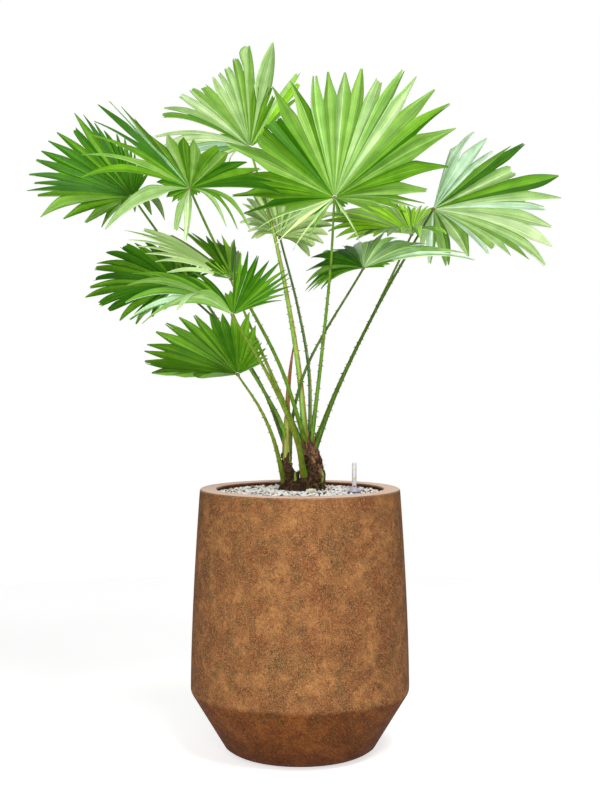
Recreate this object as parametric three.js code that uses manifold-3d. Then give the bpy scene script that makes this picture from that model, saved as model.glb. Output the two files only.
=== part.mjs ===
// A fan palm in a tall round pot: twelve pleated fan leaves on long stalks that rise from
// two short fibrous stems, over a bed of granules with a water gauge.
// Millimetres, +Z up. The origin is the centre of the pot's flat underside and -Y is the front.
import * as THREE from "three";
import { mergeVertices } from "three/addons/utils/BufferGeometryUtils.js";
import Module from "manifold-3d";

const wasm = await Module();
wasm.setup();

// Driving dimensions of the pot
const POT_HEIGHT = 526;
const POT_RIM_RADIUS = 197.5;
const POT_WIDEST_RADIUS = 216.5;
const POT_EDGE_HEIGHT = 127; // the crisp edge between the body and the tapered foot
const POT_FOOT_RADIUS = 105; // the flat underside, inside its fillet
const POT_FOOT_FILLET = 68;
const POT_WALL = 33;
const POT_FLOOR = 30;
const POT_RIM_ROUND = 4;
const POT_SIDES = 56;
const BODY_BOW = 1.57; // how the body's bow gathers towards the rim

// Driving dimensions of what stands in the pot
const CLEARANCE = 0.35;
const SUBSTRATE_LEVEL = 516;
const MOUND = { x: 2, y: 46, width: 88, depth: 62, height: 24 };
const GAUGE = { x: 107, y: -8, tubeRadius: 4.6, footRadius: 14.5, footTop: 529, tubeTop: 576.5 };

// Driving dimensions of the foliage
const BLADE_THICKNESS = 3;
const SPLIT_SHARE = 0.6; // how far out the leaflets of one blade stay joined
const SHOULDER_SHARE = 0.5; // where along its free part a leaflet starts to close to its tip
const SHOULDER_WIDTH = 0.78; // its width there, as a share of its width where it parts
const RIB_STEPS = 12;
const BEND_POWER = 1.6; // how late along a leaflet its droop sets in
const STALK_SIDES = 6;
const STALK_STEPS = 10;
const STALK_TIP_RADIUS = 2;
const STALK_TAPER = 1.3;

const palette = {
  pot: [0x8a5a30, 0.85, 0],
  substrate: [0xcfd0cb, 0.9, 0],
  bark: [0x4a3021, 0.95, 0],
  sheath: [0x6f7a36, 0.7, 0],
  stalk: [0x5f9a35, 0.55, 0],
  blade: [0x58a02c, 0.5, 0],
  spear: [0x7a5138, 0.6, 0],
  stub: [0xb9c08a, 0.7, 0],
  gauge: [0xd9d9dc, 0.35, 0],
  gaugeFoot: [0x8d8a9c, 0.5, 0],
};

const group = new THREE.Group();

function add(name, geometry, [color, roughness, metalness]) {
  const material = new THREE.MeshStandardMaterial({ color, roughness, metalness });
  const mesh = new THREE.Mesh(geometry, material);
  mesh.name = name;
  group.add(mesh);
  return geometry;
}

// A closed geometry as a solid that can be joined and cut
function solidOf(geometry) {
  const bare = geometry.clone();
  bare.deleteAttribute("normal");
  bare.deleteAttribute("uv");
  const merged = mergeVertices(bare, 1e-4);
  const triVerts = new Uint32Array(merged.index.array);
  const vertProperties = merged.attributes.position.array;
  return new wasm.Manifold(new wasm.Mesh({ numProp: 3, vertProperties, triVerts }));
}

function geometryOf(solid) {
  const { vertProperties, triVerts } = solid.getMesh();
  const geometry = new THREE.BufferGeometry();
  geometry.setAttribute("position", new THREE.BufferAttribute(vertProperties, 3));
  geometry.setIndex(new THREE.BufferAttribute(triVerts, 1));
  geometry.computeVertexNormals();
  return geometry;
}

// What is left of a piece once its neighbours are taken out of it: the largest body
function cutClear(geometry, neighbours) {
  const left = neighbours.reduce((solid, tool) => solid.subtract(solidOf(tool)), solidOf(geometry));
  const bodies = left.decompose().sort((a, b) => b.volume() - a.volume());
  return geometryOf(bodies[0]);
}

// A turned solid: the profile runs from the axis at the bottom to the axis at the top
function turned(profile, sides = POT_SIDES) {
  const points = profile.map(([radius, height]) => new THREE.Vector2(radius, height));
  const lathe = new THREE.LatheGeometry(points, sides);
  lathe.rotateX(Math.PI / 2);
  return lathe;
}

function arc(radius, height, round, from, to, steps) {
  return Array.from({ length: steps + 1 }, (_, i) => {
    const angle = THREE.MathUtils.degToRad(from + ((to - from) * i) / steps);
    return [radius + round * Math.cos(angle), height + round * Math.sin(angle)];
  });
}

function bodyRadius(height) {
  const share = (height - POT_EDGE_HEIGHT) / (POT_HEIGHT - POT_EDGE_HEIGHT);
  const drawIn = POT_WIDEST_RADIUS - POT_RIM_RADIUS;
  return POT_WIDEST_RADIUS - drawIn * share ** BODY_BOW;
}

// Where the round of the foot ends and its straight taper begins, in degrees below level
const FILLET_END = 49.5;
const OUTSIDE_STEPS = 7;
const INSIDE_STEPS = 5;
const INNER_RIM_RADIUS = POT_RIM_RADIUS - POT_WALL;
const INNER_EDGE_RADIUS = POT_WIDEST_RADIUS - POT_WALL;

// Even heights from just above the crisp edge to where the rim starts to round over
function bodyHeights(steps) {
  const rise = POT_HEIGHT - POT_RIM_ROUND - POT_EDGE_HEIGHT;
  return Array.from({ length: steps }, (_, i) => POT_EDGE_HEIGHT + (rise * (i + 1)) / steps);
}

function potProfile() {
  const fillet = arc(POT_FOOT_RADIUS, POT_FOOT_FILLET, POT_FOOT_FILLET, -90, -FILLET_END, 5);
  const outside = bodyHeights(OUTSIDE_STEPS).map((height) => [bodyRadius(height), height]);
  const roundHeight = POT_HEIGHT - POT_RIM_ROUND;
  const outerRound = arc(POT_RIM_RADIUS - POT_RIM_ROUND, roundHeight, POT_RIM_ROUND, 30, 90, 2);
  const innerRound = arc(INNER_RIM_RADIUS + POT_RIM_ROUND, roundHeight, POT_RIM_ROUND, 90, 180, 3);
  const inside = bodyHeights(INSIDE_STEPS)
    .slice(0, -1)
    .reverse()
    .map((height) => [bodyRadius(height) - POT_WALL, height]);
  return [
    [0, 0],
    ...fillet,
    [POT_WIDEST_RADIUS - 1, POT_EDGE_HEIGHT - 4],
    [POT_WIDEST_RADIUS, POT_EDGE_HEIGHT],
    ...outside,
    ...outerRound,
    ...innerRound,
    ...inside,
    [INNER_EDGE_RADIUS, POT_EDGE_HEIGHT],
    [POT_FOOT_RADIUS, POT_FLOOR],
    [0, POT_FLOOR],
  ];
}

// The granule bed fills the pot to just under its rim
function substrateProfile() {
  const wall = bodyHeights(INSIDE_STEPS)
    .slice(0, -1)
    .map((height) => [bodyRadius(height) - POT_WALL - CLEARANCE, height]);
  return [
    [0, POT_FLOOR + CLEARANCE],
    [POT_FOOT_RADIUS - 2 * CLEARANCE, POT_FLOOR + CLEARANCE],
    [INNER_EDGE_RADIUS - CLEARANCE, POT_EDGE_HEIGHT],
    ...wall,
    [INNER_RIM_RADIUS - 2 * CLEARANCE, SUBSTRATE_LEVEL],
    [0, SUBSTRATE_LEVEL],
  ];
}

// A limb: rings of the given radius along a smooth path, closed by flat ends. grow makes it
// that much larger all over, and levelFoot cuts its lower end off level.
function limb(path, radiusAt, options = {}) {
  const { sides = STALK_SIDES, steps = STALK_STEPS, grow = 0, levelFoot = false } = options;
  const curve = new THREE.CatmullRomCurve3(path.map((p) => new THREE.Vector3(...p)));
  const frames = curve.computeFrenetFrames(steps);
  const positions = [];
  const index = [];
  for (let i = 0; i <= steps; i++) {
    const share = i / steps;
    const centre = curve.getPointAt(share);
    if (i === 0) centre.addScaledVector(frames.tangents[0], -grow);
    if (i === steps) centre.addScaledVector(frames.tangents[steps], grow);
    for (let j = 0; j < sides; j++) {
      const angle = (j / sides) * 2 * Math.PI;
      const radius = radiusAt(share) + grow;
      const point = centre.clone();
      point.addScaledVector(frames.normals[i], radius * Math.cos(angle));
      point.addScaledVector(frames.binormals[i], radius * Math.sin(angle));
      if (i === 0 && levelFoot) point.z = centre.z;
      positions.push(point.x, point.y, point.z);
    }
  }
  for (let i = 0; i < steps; i++) {
    for (let j = 0; j < sides; j++) {
      const next = (j + 1) % sides;
      const [a, b] = [i * sides + j, i * sides + next];
      index.push(a, b, b + sides, a, b + sides, a + sides);
    }
  }
  const last = steps * sides;
  for (let j = 1; j < sides - 1; j++) {
    index.push(0, j + 1, j, last, last + j, last + j + 1);
  }
  const geometry = new THREE.BufferGeometry();
  geometry.setAttribute("position", new THREE.Float32BufferAttribute(positions, 3));
  geometry.setIndex(index);
  geometry.computeVertexNormals();
  return geometry;
}

// The fan leaves. hub is where the stalk meets the blade. heading, rise and roll turn the blade:
// heading is the compass angle of its middle leaflet from +X towards +Y, rise its lift above the
// level and roll its turn about itself. The fan opens from span[0] to span[1] degrees about the
// middle. lift, reach and droop are stations at even steps over that span: how far a leaflet
// stands out of the blade's plane in degrees, its length in millimetres, and how far it bows
// over by its tip.
const leaves = {
  far_left: {
    hub: [-326, -20, 1097], heading: 175, rise: -14, roll: -24, span: [-125, 145], leaflets: 30,
    lift: [14, 24, 6, 25, 32, 46, 57, 47, 52, 29],
    reach: [200, 175, 135, 225, 205, 200, 205, 150, 95, 60],
    droop: [0.9, 0.7, 0.5, 0.2, 0.1, 0.1, 0, 0.3, 0.1, 0.1],
    stalk: { path: [[-32, 40, 634], [-69, 63, 710], [-257, 88, 992]], radius: 4.2 },
  },
  left_high: {
    hub: [-203, -190, 1097], heading: 180, rise: 13, roll: -31, span: [-158, 145], leaflets: 32,
    lift: [24, 23, 10, -1, 21, 32, 32, 7, 6, 1, -1],
    reach: [180, 130, 165, 195, 250, 215, 240, 195, 175, 210, 225],
    droop: [1.7, 1.7, 1.3, 1.4, 0.8, 0.3, 0.1, 0.2, 0, 0.2, 0.3],
    stalk: { path: [[13, 40, 608], [-39, -10, 767], [-159, -145, 998]], radius: 4.2 },
  },
  crown_left: {
    hub: [-102, 135, 1213], heading: 126, rise: 29, roll: -8, span: [-140, 110], leaflets: 29,
    lift: [28, 7, 19, 25, 41, 43, 45, 43, 43],
    reach: [185, 185, 235, 195, 165, 230, 255, 150, 160],
    droop: [0.9, 1, 0.8, 0.4, 0.3, 0.2, 0.1, 0.1, 0.1],
    stalk: { path: [[12, 50, 609], [-4, 42, 771], [-44, -27, 997]], radius: 4.8 },
  },
  crown_right: {
    hub: [66, -70, 1091], heading: 68, rise: 57, roll: 15, span: [-162, 162], leaflets: 36,
    lift: [-6, -12, -21, -5, 17, 31, 22, 30, 29, 9, 28, 30, 22],
    reach: [120, 160, 150, 245, 265, 240, 260, 280, 285, 185, 170, 155, 200],
    droop: [0.3, 0.3, 0.2, 0.3, 0.1, 0, 0.1, 0, 0.1, 0.4, 0.3, 0.4, 0.1],
    stalk: { path: [[22, 44, 609], [41, 20, 771], [60, -40, 968]], radius: 4.2 },
  },
  back_middle: {
    hub: [-41, 138, 1029], heading: 77, rise: 74, roll: 10, span: [-130, 130], leaflets: 24,
    lift: [74, 69, 50, 36, 51, 58],
    reach: [170, 175, 135, 175, 170, 170],
    droop: [0.6, 0.5, 0.3, 0.4, 0.5, 0.5],
    stalk: { path: [[20, 53, 607], [18, 75, 756], [-4, 103, 884]], radius: 4 },
  },
  far_right: {
    hub: [268, 70, 1082], heading: -24, rise: -5, roll: -30, span: [-150, 69], leaflets: 23,
    lift: [-20, -19, 3, 23, 17, 11, 18, 17, 29, 12, 14],
    reach: [75, 70, 195, 255, 230, 275, 245, 265, 230, 215, 305],
    droop: [0.6, 0.8, 0.6, 0.5, 0.5, 0.5, 0.4, 0.2, 0, 0, 0.7],
    stalk: { path: [[28, 42, 594], [70, 34, 709], [154, 120, 878]], radius: 4.4 },
  },
  right_inner: {
    hub: [227, 108, 1034], heading: 182, rise: 0, roll: 23, span: [-110, 150], leaflets: 30,
    lift: [-15, -16, -9, 24, 52, 63, 55, 51],
    reach: [200, 210, 175, 195, 165, 140, 150, 155],
    droop: [0.5, 0.5, 0.5, 0.4, 0.3, 0.3, 0.3, 0.3],
    stalk: { path: [[25, 52, 600], [76, 62, 724], [159, 148, 888]], radius: 3.8 },
  },
  right_low: {
    hub: [124, 0, 960], heading: 67, rise: -4, roll: -18, span: [-120, 120], leaflets: 24,
    lift: [6, 19, 40, 36, 42, 19, -2, -18],
    reach: [90, 140, 180, 200, 170, 170, 230, 175],
    droop: [1.1, 1, 0.5, 0.4, 0.6, 0.7, 0.6, 0.7],
    stalk: { path: [[-17, 46, 568], [-12, 34, 673], [16, 20, 771]], radius: 3.2 },
  },
  left_back: {
    hub: [-247, 90, 930], heading: 178, rise: -1, roll: -27, span: [-85, 145], leaflets: 24,
    lift: [17, -3, 6, 12, 17, 15, 9, 5],
    reach: [215, 145, 190, 195, 185, 155, 100, 75],
    droop: [0.4, 0.5, 0.4, 0.3, 0.2, 0.2, 0.2, 0.2],
    stalk: { path: [[-30, 56, 608], [-74, 77, 718], [-151, 101, 838]], radius: 3.6 },
  },
  left_front: {
    hub: [-121, -260, 863], heading: 122, rise: 15, roll: 21, span: [-105, 105], leaflets: 24,
    lift: [23, -2, 11, 24, 48, 38, 44, 50, 47],
    reach: [175, 200, 220, 150, 175, 200, 175, 145, 90],
    droop: [1.5, 1.4, 0.8, 0.8, 0.5, 0, 0, 0.2, 0.4],
    stalk: { path: [[8, 29, 543], [-6, -20, 622], [-52, -100, 734]], radius: 6.6 },
  },
  left_middle: {
    hub: [-137, 30, 940], heading: 187, rise: 26, roll: -10, span: [-80, 110], leaflets: 24,
    lift: [14, -3, 3, 5, 16, 24, 18, -6],
    reach: [225, 200, 185, 235, 195, 125, 205, 195],
    droop: [0.3, 0.4, 0.5, 0.4, 0.4, 0.3, 0, 0],
    stalk: { path: [[9, 43, 600], [-38, 30, 708], [-93, 43, 832]], radius: 4.2 },
  },
  left_low: {
    hub: [-120, -60, 752], heading: 152, rise: 39, roll: -15, span: [-100, 105], leaflets: 19,
    lift: [23, 1, 0, 8, 16, 21, 13, 30],
    reach: [180, 210, 190, 170, 140, 150, 105, 65],
    droop: [0, 0, 0.1, 0.1, 0.1, 0, 0, 0],
    stalk: { path: [[-32, 45, 534], [-52, 11, 620], [-78, -19, 683]], radius: 4.8 },
  },
};

// The blade's own axes: forward along the middle leaflet, side to its right, normal upwards
function bladeAxes({ heading, rise, roll }) {
  const [h, r, t] = [heading, rise, roll].map(THREE.MathUtils.degToRad);
  const level = new THREE.Vector3(Math.cos(h), Math.sin(h), 0);
  const forward = level.multiplyScalar(Math.cos(r)).setZ(Math.sin(r));
  const right = new THREE.Vector3(Math.sin(h), -Math.cos(h), 0);
  const upright = new THREE.Vector3().crossVectors(right, forward);
  const normal = upright.clone().multiplyScalar(Math.cos(t)).addScaledVector(right, Math.sin(t));
  const side = right.clone().multiplyScalar(Math.cos(t)).addScaledVector(upright, -Math.sin(t));
  return { forward, side, normal };
}

// A value read off evenly spaced stations at a share from 0 to 1
function station(values, share) {
  const at = THREE.MathUtils.clamp(share, 0, 1) * (values.length - 1);
  const low = Math.min(Math.floor(at), values.length - 2);
  return THREE.MathUtils.lerp(values[low], values[low + 1], at - low);
}

// The line of one rib of the blade at a fan angle: points at even steps from hub to tip
function rib(leaf, axes, fanAngle) {
  const share = (fanAngle - leaf.span[0]) / (leaf.span[1] - leaf.span[0]);
  const lift = THREE.MathUtils.degToRad(station(leaf.lift, share));
  const reach = station(leaf.reach, share);
  const droop = station(leaf.droop, share);
  const fan = THREE.MathUtils.degToRad(fanAngle);
  const start = new THREE.Vector3()
    .addScaledVector(axes.forward, Math.cos(lift) * Math.cos(fan))
    .addScaledVector(axes.side, Math.cos(lift) * Math.sin(fan))
    .addScaledVector(axes.normal, Math.sin(lift));
  const points = [new THREE.Vector3(...leaf.hub)];
  for (let i = 0; i < RIB_STEPS; i++) {
    const direction = start.clone();
    direction.z -= droop * ((i + 0.5) / RIB_STEPS) ** BEND_POWER;
    direction.setLength(reach / RIB_STEPS);
    points.push(points[i].clone().add(direction));
  }
  return { points, reach };
}

function along({ points, reach }, distance) {
  const at = THREE.MathUtils.clamp(distance / reach, 0, 1) * RIB_STEPS;
  const low = Math.min(Math.floor(at), RIB_STEPS - 1);
  return points[low].clone().lerp(points[low + 1], at - low);
}

// The blade's upper face: leaflets joined out to the split, then free and closing to a tip
function bladeFace(leaf) {
  const axes = bladeAxes(leaf);
  const pitch = (leaf.span[1] - leaf.span[0]) / leaf.leaflets;
  const points = [new THREE.Vector3(...leaf.hub)];
  const faces = [];
  const put = (point) => points.push(point) - 1;

  const borders = Array.from({ length: leaf.leaflets + 1 }, (_, i) => {
    const line = rib(leaf, axes, leaf.span[0] + i * pitch);
    const split = line.reach * SPLIT_SHARE;
    return { line, split, inner: put(along(line, split / 2)), outer: put(along(line, split)) };
  });

  for (let i = 0; i < leaf.leaflets; i++) {
    const [left, right] = [borders[i], borders[i + 1]];
    faces.push([0, right.inner, left.inner]);
    faces.push([left.inner, right.inner, right.outer], [left.inner, right.outer, left.outer]);

    const middle = rib(leaf, axes, leaf.span[0] + (i + 0.5) * pitch);
    const split = (left.split + right.split) / 2;
    const shoulder = along(middle, split + (middle.reach - split) * SHOULDER_SHARE);
    const across = points[right.outer].clone().sub(points[left.outer]);
    const half = across.multiplyScalar(SHOULDER_WIDTH / 2);
    const shoulderLeft = put(shoulder.clone().sub(half));
    const shoulderRight = put(shoulder.clone().add(half));
    const tip = put(along(middle, middle.reach));
    faces.push([left.outer, right.outer, shoulderRight], [left.outer, shoulderRight, shoulderLeft]);
    faces.push([shoulderLeft, shoulderRight, tip]);
  }
  return { points, faces };
}

function faceNormals({ points, faces }) {
  const normals = points.map(() => new THREE.Vector3());
  for (const [a, b, c] of faces) {
    const first = points[b].clone().sub(points[a]);
    const second = points[c].clone().sub(points[a]);
    const normal = first.cross(second);
    for (const corner of [a, b, c]) normals[corner].add(normal);
  }
  return normals.map((normal) => normal.normalize());
}

// A face thickened into a closed blade: its copy underneath, and walls round every free edge
function thicken(face, above, below) {
  const normals = faceNormals(face);
  const count = face.points.length;
  const upper = face.points.map((p, i) => p.clone().addScaledVector(normals[i], above));
  const lower = face.points.map((p, i) => p.clone().addScaledVector(normals[i], -below));
  const index = [];
  const open = new Map();
  for (const [a, b, c] of face.faces) {
    index.push(a, b, c, a + count, c + count, b + count);
    for (const [from, to] of [[a, b], [b, c], [c, a]]) {
      if (!open.delete(`${to},${from}`)) open.set(`${from},${to}`, [from, to]);
    }
  }
  for (const [from, to] of open.values()) {
    index.push(to, from, from + count, to, from + count, to + count);
  }
  const geometry = new THREE.BufferGeometry();
  const positions = [...upper, ...lower].flatMap((p) => [p.x, p.y, p.z]);
  geometry.setAttribute("position", new THREE.Float32BufferAttribute(positions, 3));
  geometry.setIndex(index);
  geometry.computeVertexNormals();
  return geometry;
}

function stalkLimb(leaf, grow) {
  const { path, radius } = leaf.stalk;
  const end = new THREE.Vector3(...leaf.hub);
  end.addScaledVector(bladeAxes(leaf).normal, -BLADE_THICKNESS / 2);
  const swell = radius - STALK_TIP_RADIUS;
  const radiusAt = (share) => STALK_TIP_RADIUS + swell * (1 - share) ** STALK_TAPER;
  return limb([...path, end.toArray()], radiusAt, { grow });
}

// The blade shifted under itself, which trims the stalk's tip just clear of the blade
function bladeGuard(leaf, face) {
  const guard = thicken(face, 0, BLADE_THICKNESS);
  const shift = bladeAxes(leaf).normal.multiplyScalar(-2 * CLEARANCE);
  guard.translate(shift.x, shift.y, shift.z);
  return guard;
}

// Pot and substrate
add("pot", turned(potProfile()), palette.pot);
add("substrate", turned(substrateProfile()), palette.substrate);

// The two stems, cut flat where they meet the granules
const STEM_FOOT = SUBSTRATE_LEVEL + CLEARANCE;
const stems = {
  stem_main: {
    path: [[26, 45, STEM_FOOT], [27, 45, 553], [22, 46, 588], [16, 46, 614]],
    radii: [20, 19, 15.5, 11],
  },
  stem_left: {
    path: [[-26, 50, STEM_FOOT], [-27, 50, 553], [-30, 48, 593], [-32, 46, 630]],
    radii: [9.8, 9.5, 8, 5],
  },
};
const STEM_SIDES = 14;
const STEM_STEPS = 9;

function stemLimb({ path, radii }, grow) {
  const radiusAt = (share) => station(radii, share);
  return limb(path, radiusAt, { sides: STEM_SIDES, steps: STEM_STEPS, grow, levelFoot: true });
}

const standing = [];
for (const [name, stem] of Object.entries(stems)) {
  add(name, stemLimb(stem, 0), palette.bark);
  standing.push(stemLimb(stem, CLEARANCE));
}

// The mound of matted roots that both stems stand in
function moundDome(grow) {
  const { x, y, width, depth, height } = MOUND;
  const steps = 6;
  const dome = Array.from({ length: steps + 1 }, (_, i) => {
    const angle = (i / steps) * (Math.PI / 2);
    return [Math.cos(angle), Math.sin(angle)];
  });
  dome[steps][0] = 0;
  const geometry = turned([[0, 0], ...dome], 28);
  geometry.scale(width / 2 + grow, depth / 2 + grow, height + grow);
  geometry.translate(x, y, STEM_FOOT - grow);
  return geometry;
}

add("root_mound", cutClear(moundDome(0), standing), palette.bark);
standing.push(moundDome(CLEARANCE));

// The rolled young leaf that rises out of the left stem
const spearPath = [[-32, 46, 632], [-26, 44, 690], [-20, 42, 740], [-9, 40, 805]];
const spearRadius = (share) => 3.6 - 2.8 * share ** 1.5;
add("spear_leaf", cutClear(limb(spearPath, spearRadius), standing), palette.spear);
standing.push(limb(spearPath, spearRadius, { grow: CLEARANCE }));

// Two cut-back stubs beside the main stem
const stubs = {
  cut_stub_green: { path: [[44, 36, 529], [47, 34, 543], [44, 33, 561]], radius: 4.4 },
  cut_stub_pale: { path: [[13, 8, 521], [21, 7, 522], [30, 9, 521.5]], radius: 4.2 },
};
for (const [name, { path, radius }] of Object.entries(stubs)) {
  const size = { sides: 8, steps: 4 };
  add(name, cutClear(limb(path, () => radius, size), standing), palette.stub);
  standing.push(limb(path, () => radius, { ...size, grow: CLEARANCE }));
}

// The water gauge: a clear tube in a domed foot
function standAtGauge(profile) {
  const geometry = turned(profile, 24);
  geometry.translate(GAUGE.x, GAUGE.y, 0);
  return geometry;
}

const FOOT_RIM_TOP = 521;
add("gauge_foot", standAtGauge([
  [0, STEM_FOOT],
  [GAUGE.footRadius, STEM_FOOT],
  [GAUGE.footRadius, FOOT_RIM_TOP],
  [GAUGE.footRadius * 0.78, FOOT_RIM_TOP + 3.5],
  [GAUGE.footRadius * 0.45, GAUGE.footTop],
  [0, GAUGE.footTop],
]), palette.gaugeFoot);
add("gauge_tube", standAtGauge([
  [0, GAUGE.footTop + CLEARANCE],
  [GAUGE.tubeRadius, GAUGE.footTop + CLEARANCE],
  [GAUGE.tubeRadius, GAUGE.tubeTop - 1],
  [GAUGE.tubeRadius - 1, GAUGE.tubeTop],
  [0, GAUGE.tubeTop],
]), palette.gauge);

// Stalks and blades, each stalk cut clear of the stems and of the stalks already placed
for (const [name, leaf] of Object.entries(leaves)) {
  const face = bladeFace(leaf);
  const blade = add(`frond_${name}`, thicken(face, 0, BLADE_THICKNESS), palette.blade);
  const neighbours = [...standing, bladeGuard(leaf, face), blade];
  add(`stalk_${name}`, cutClear(stalkLimb(leaf, 0), neighbours), palette.stalk);
  standing.push(stalkLimb(leaf, CLEARANCE));
}

export default group;
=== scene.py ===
"""A fan palm in a tall round pot, modelled in detail over its plain solids.

Lengths are in millimetres, and MM turns them into Blender's metres where a mesh is made. Only
the studio's are in metres. +Z is up, the origin is the centre of the pot's underside and -Y is
the front. A colour written as three values is a display colour of 0 to 255.
"""
import itertools
import math

import bpy
import numpy as np
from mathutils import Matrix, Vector, noise


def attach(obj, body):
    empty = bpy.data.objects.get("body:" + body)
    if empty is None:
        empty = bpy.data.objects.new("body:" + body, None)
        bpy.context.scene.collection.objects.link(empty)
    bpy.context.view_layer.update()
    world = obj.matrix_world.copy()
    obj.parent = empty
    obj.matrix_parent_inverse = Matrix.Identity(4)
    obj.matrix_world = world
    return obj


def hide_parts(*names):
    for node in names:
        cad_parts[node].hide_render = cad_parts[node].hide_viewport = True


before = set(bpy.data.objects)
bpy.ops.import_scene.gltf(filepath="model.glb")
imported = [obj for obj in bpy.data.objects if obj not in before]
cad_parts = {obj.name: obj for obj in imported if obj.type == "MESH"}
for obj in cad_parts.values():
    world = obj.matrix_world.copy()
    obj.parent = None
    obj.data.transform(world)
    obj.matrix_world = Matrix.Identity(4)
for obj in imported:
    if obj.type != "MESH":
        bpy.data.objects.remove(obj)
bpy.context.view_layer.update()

MM = 0.001
SEED = 7
FULL_TURN = 2 * math.pi

# The steps between two points of a smooth path, and a unit of the veins' map along a leaflet
FINE_STEPS = 24
VEIN_STEP = 10

# An edge looks crisp where its faces meet at more than this, in degrees
CREASE = 40
SOFT_CREASE = 50
STONE_CREASE = 20

# The camera stands where the photograph was taken from
CAMERA_PLACE = (0, -3090, 808)
CAMERA_PITCH = 2.0
CAMERA_LENS = 70.5
SENSOR_WIDTH = 36

# The white studio, in metres: the wall behind the plant is white, and the rest is dimmer, so
# that the panels model the form. A panel has a place, a target, a width and a power.
WALL_GLOW = 0.36
SKY_ABOVE = 0.55
FLOOR_RADIUS = 2.4
FLOOR_HEIGHT = -0.001
FLOOR_SIDES = 96
FLOOR_GLOW = 0.62
PANELS = {
    "key": ((0.8, -2.2, 3.2), (0, 0, 0.9), 1.2, 66),
    "front": ((-0.5, -3.6, 1.9), (0, 0, 0.7), 1.6, 38),
    "fill": ((-0.5, -2.6, 0.3), (0, 0, 1.1), 1.2, 36),
}

# The pot and what lies in it. BODY_BOW curves the wall between its widest edge and the rim.
# LEVEL is the granules' surface, and BED_LEVEL that of the bed they lie on. A layer of granules
# has a depth below LEVEL, and the shares say how many have each of GRANULES' colours. The
# mound's size is from its centre outwards.
POT_HEIGHT = 526
POT_RIM_RADIUS = 197.5
POT_WIDEST_RADIUS = 216.5
POT_EDGE_HEIGHT = 127
POT_EDGE_ROUND = 7
POT_FOOT_RADIUS = 105
POT_FOOT_FILLET = 68
POT_FILLET_END = 49.5
POT_WALL = 33
POT_FLOOR = 30
POT_RIM_ROUND = 4
POT_SIDES = 192
BODY_BOW = 1.57
LEVEL = 516
BED_LEVEL = 510
BED_SIDES = 96
GRANULE_SPACING = 6.3
GRANULE_SIZES = (2.5, 4.1)
GRANULE_DEPTHS = (0.4, 5)
GRANULE_SHARES = (0.49, 0.13, 0.19, 0.1, 0.09)
MOUND_CENTRE = np.array((2, 46, LEVEL))
MOUND_SIZE = np.array((44, 31, 24))
GAUGE = {"x": 107, "y": -8, "tube": 4.6, "foot": 14.5, "foot_top": 529, "tube_top": 576.5}
GAUGE_SIDES = 40

# The marks on the front of the gauge's pipe, with their heights and colours, and how far round
# the pipe they reach to each side, in degrees
GAUGE_MARKS = (
    ("high", 564, (232, 196, 60)),
    ("low", 546, (232, 196, 60)),
    ("float", 530.5, (176, 40, 34)),
)
MARK_REACH = 28

# The blades, in shares of a leaflet's length where no length is named. Past FREE_FROM each
# leaflet has points of its own, and past its split it narrows within NARROW_WITHIN. Past
# LOOSE_FROM it twists and bends. COLUMNS are the places across a leaflet, from edge to edge,
# and FOLDS how steep its pleat is at FOLD_SHARES.
BEND_POWER = 1.6
CURVE_STEPS = 36
FREE_FROM = 0.26
SPLIT_SPREAD = 0.035
SPLIT_MOST = 0.9
SHORT_CUT = 0.6
NARROW_WITHIN = 0.14
LOOSE_FROM = 0.6
LOOSE_SHARE = 0.5
TORN_SHARE = 0.08
JOINED_ROWS = 6
FREE_ROWS = 22
COLUMNS = np.array([-1, -0.93, -0.62, -0.3, -0.04, 0.04, 0.3, 0.62, 0.93, 1])
STRIPS = len(COLUMNS) - 1
MIDRIB_STRIP = STRIPS // 2
SIDE_STRIPS = (STRIPS - 3) // 2
BLADE_THICKNESS = 0.5
HUB_RADIUS = 5
CROWN_TOP = 1442
FOLD_SHARES = (0, 0.6, 1)
FOLDS = (0.9, 0.62, 0.42)
ENDS = ("acute", "forked", "blunt")

# The stalks. A hub cap has heights over the hub with the radius at each.
STALK_TIP_RADIUS = 2
STALK_TAPER = 1.3
STALK_SIDES = 10
STALK_STEPS = 44
FLANK_FACES = (0, 1, 8, 9)
HUB_CAP = ((-4, 2.2), (-2, 4), (0, 4.6), (1.6, 2.6), (2.6, 0.6))
THORN_SIZES = (3.4, 5.4)
THORNS_END = 0.8

# What a leaf has where its entry doesn't say otherwise
USUAL = dict(
    ends=(0.62, 0.18, 0.2), taper=(1.15, 1.75), split=(0.66, 0.66), width=(1, 1), twist=10,
    kink=0.05, pleat_shading=0.35, wide={}, cuts={},
)
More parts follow.
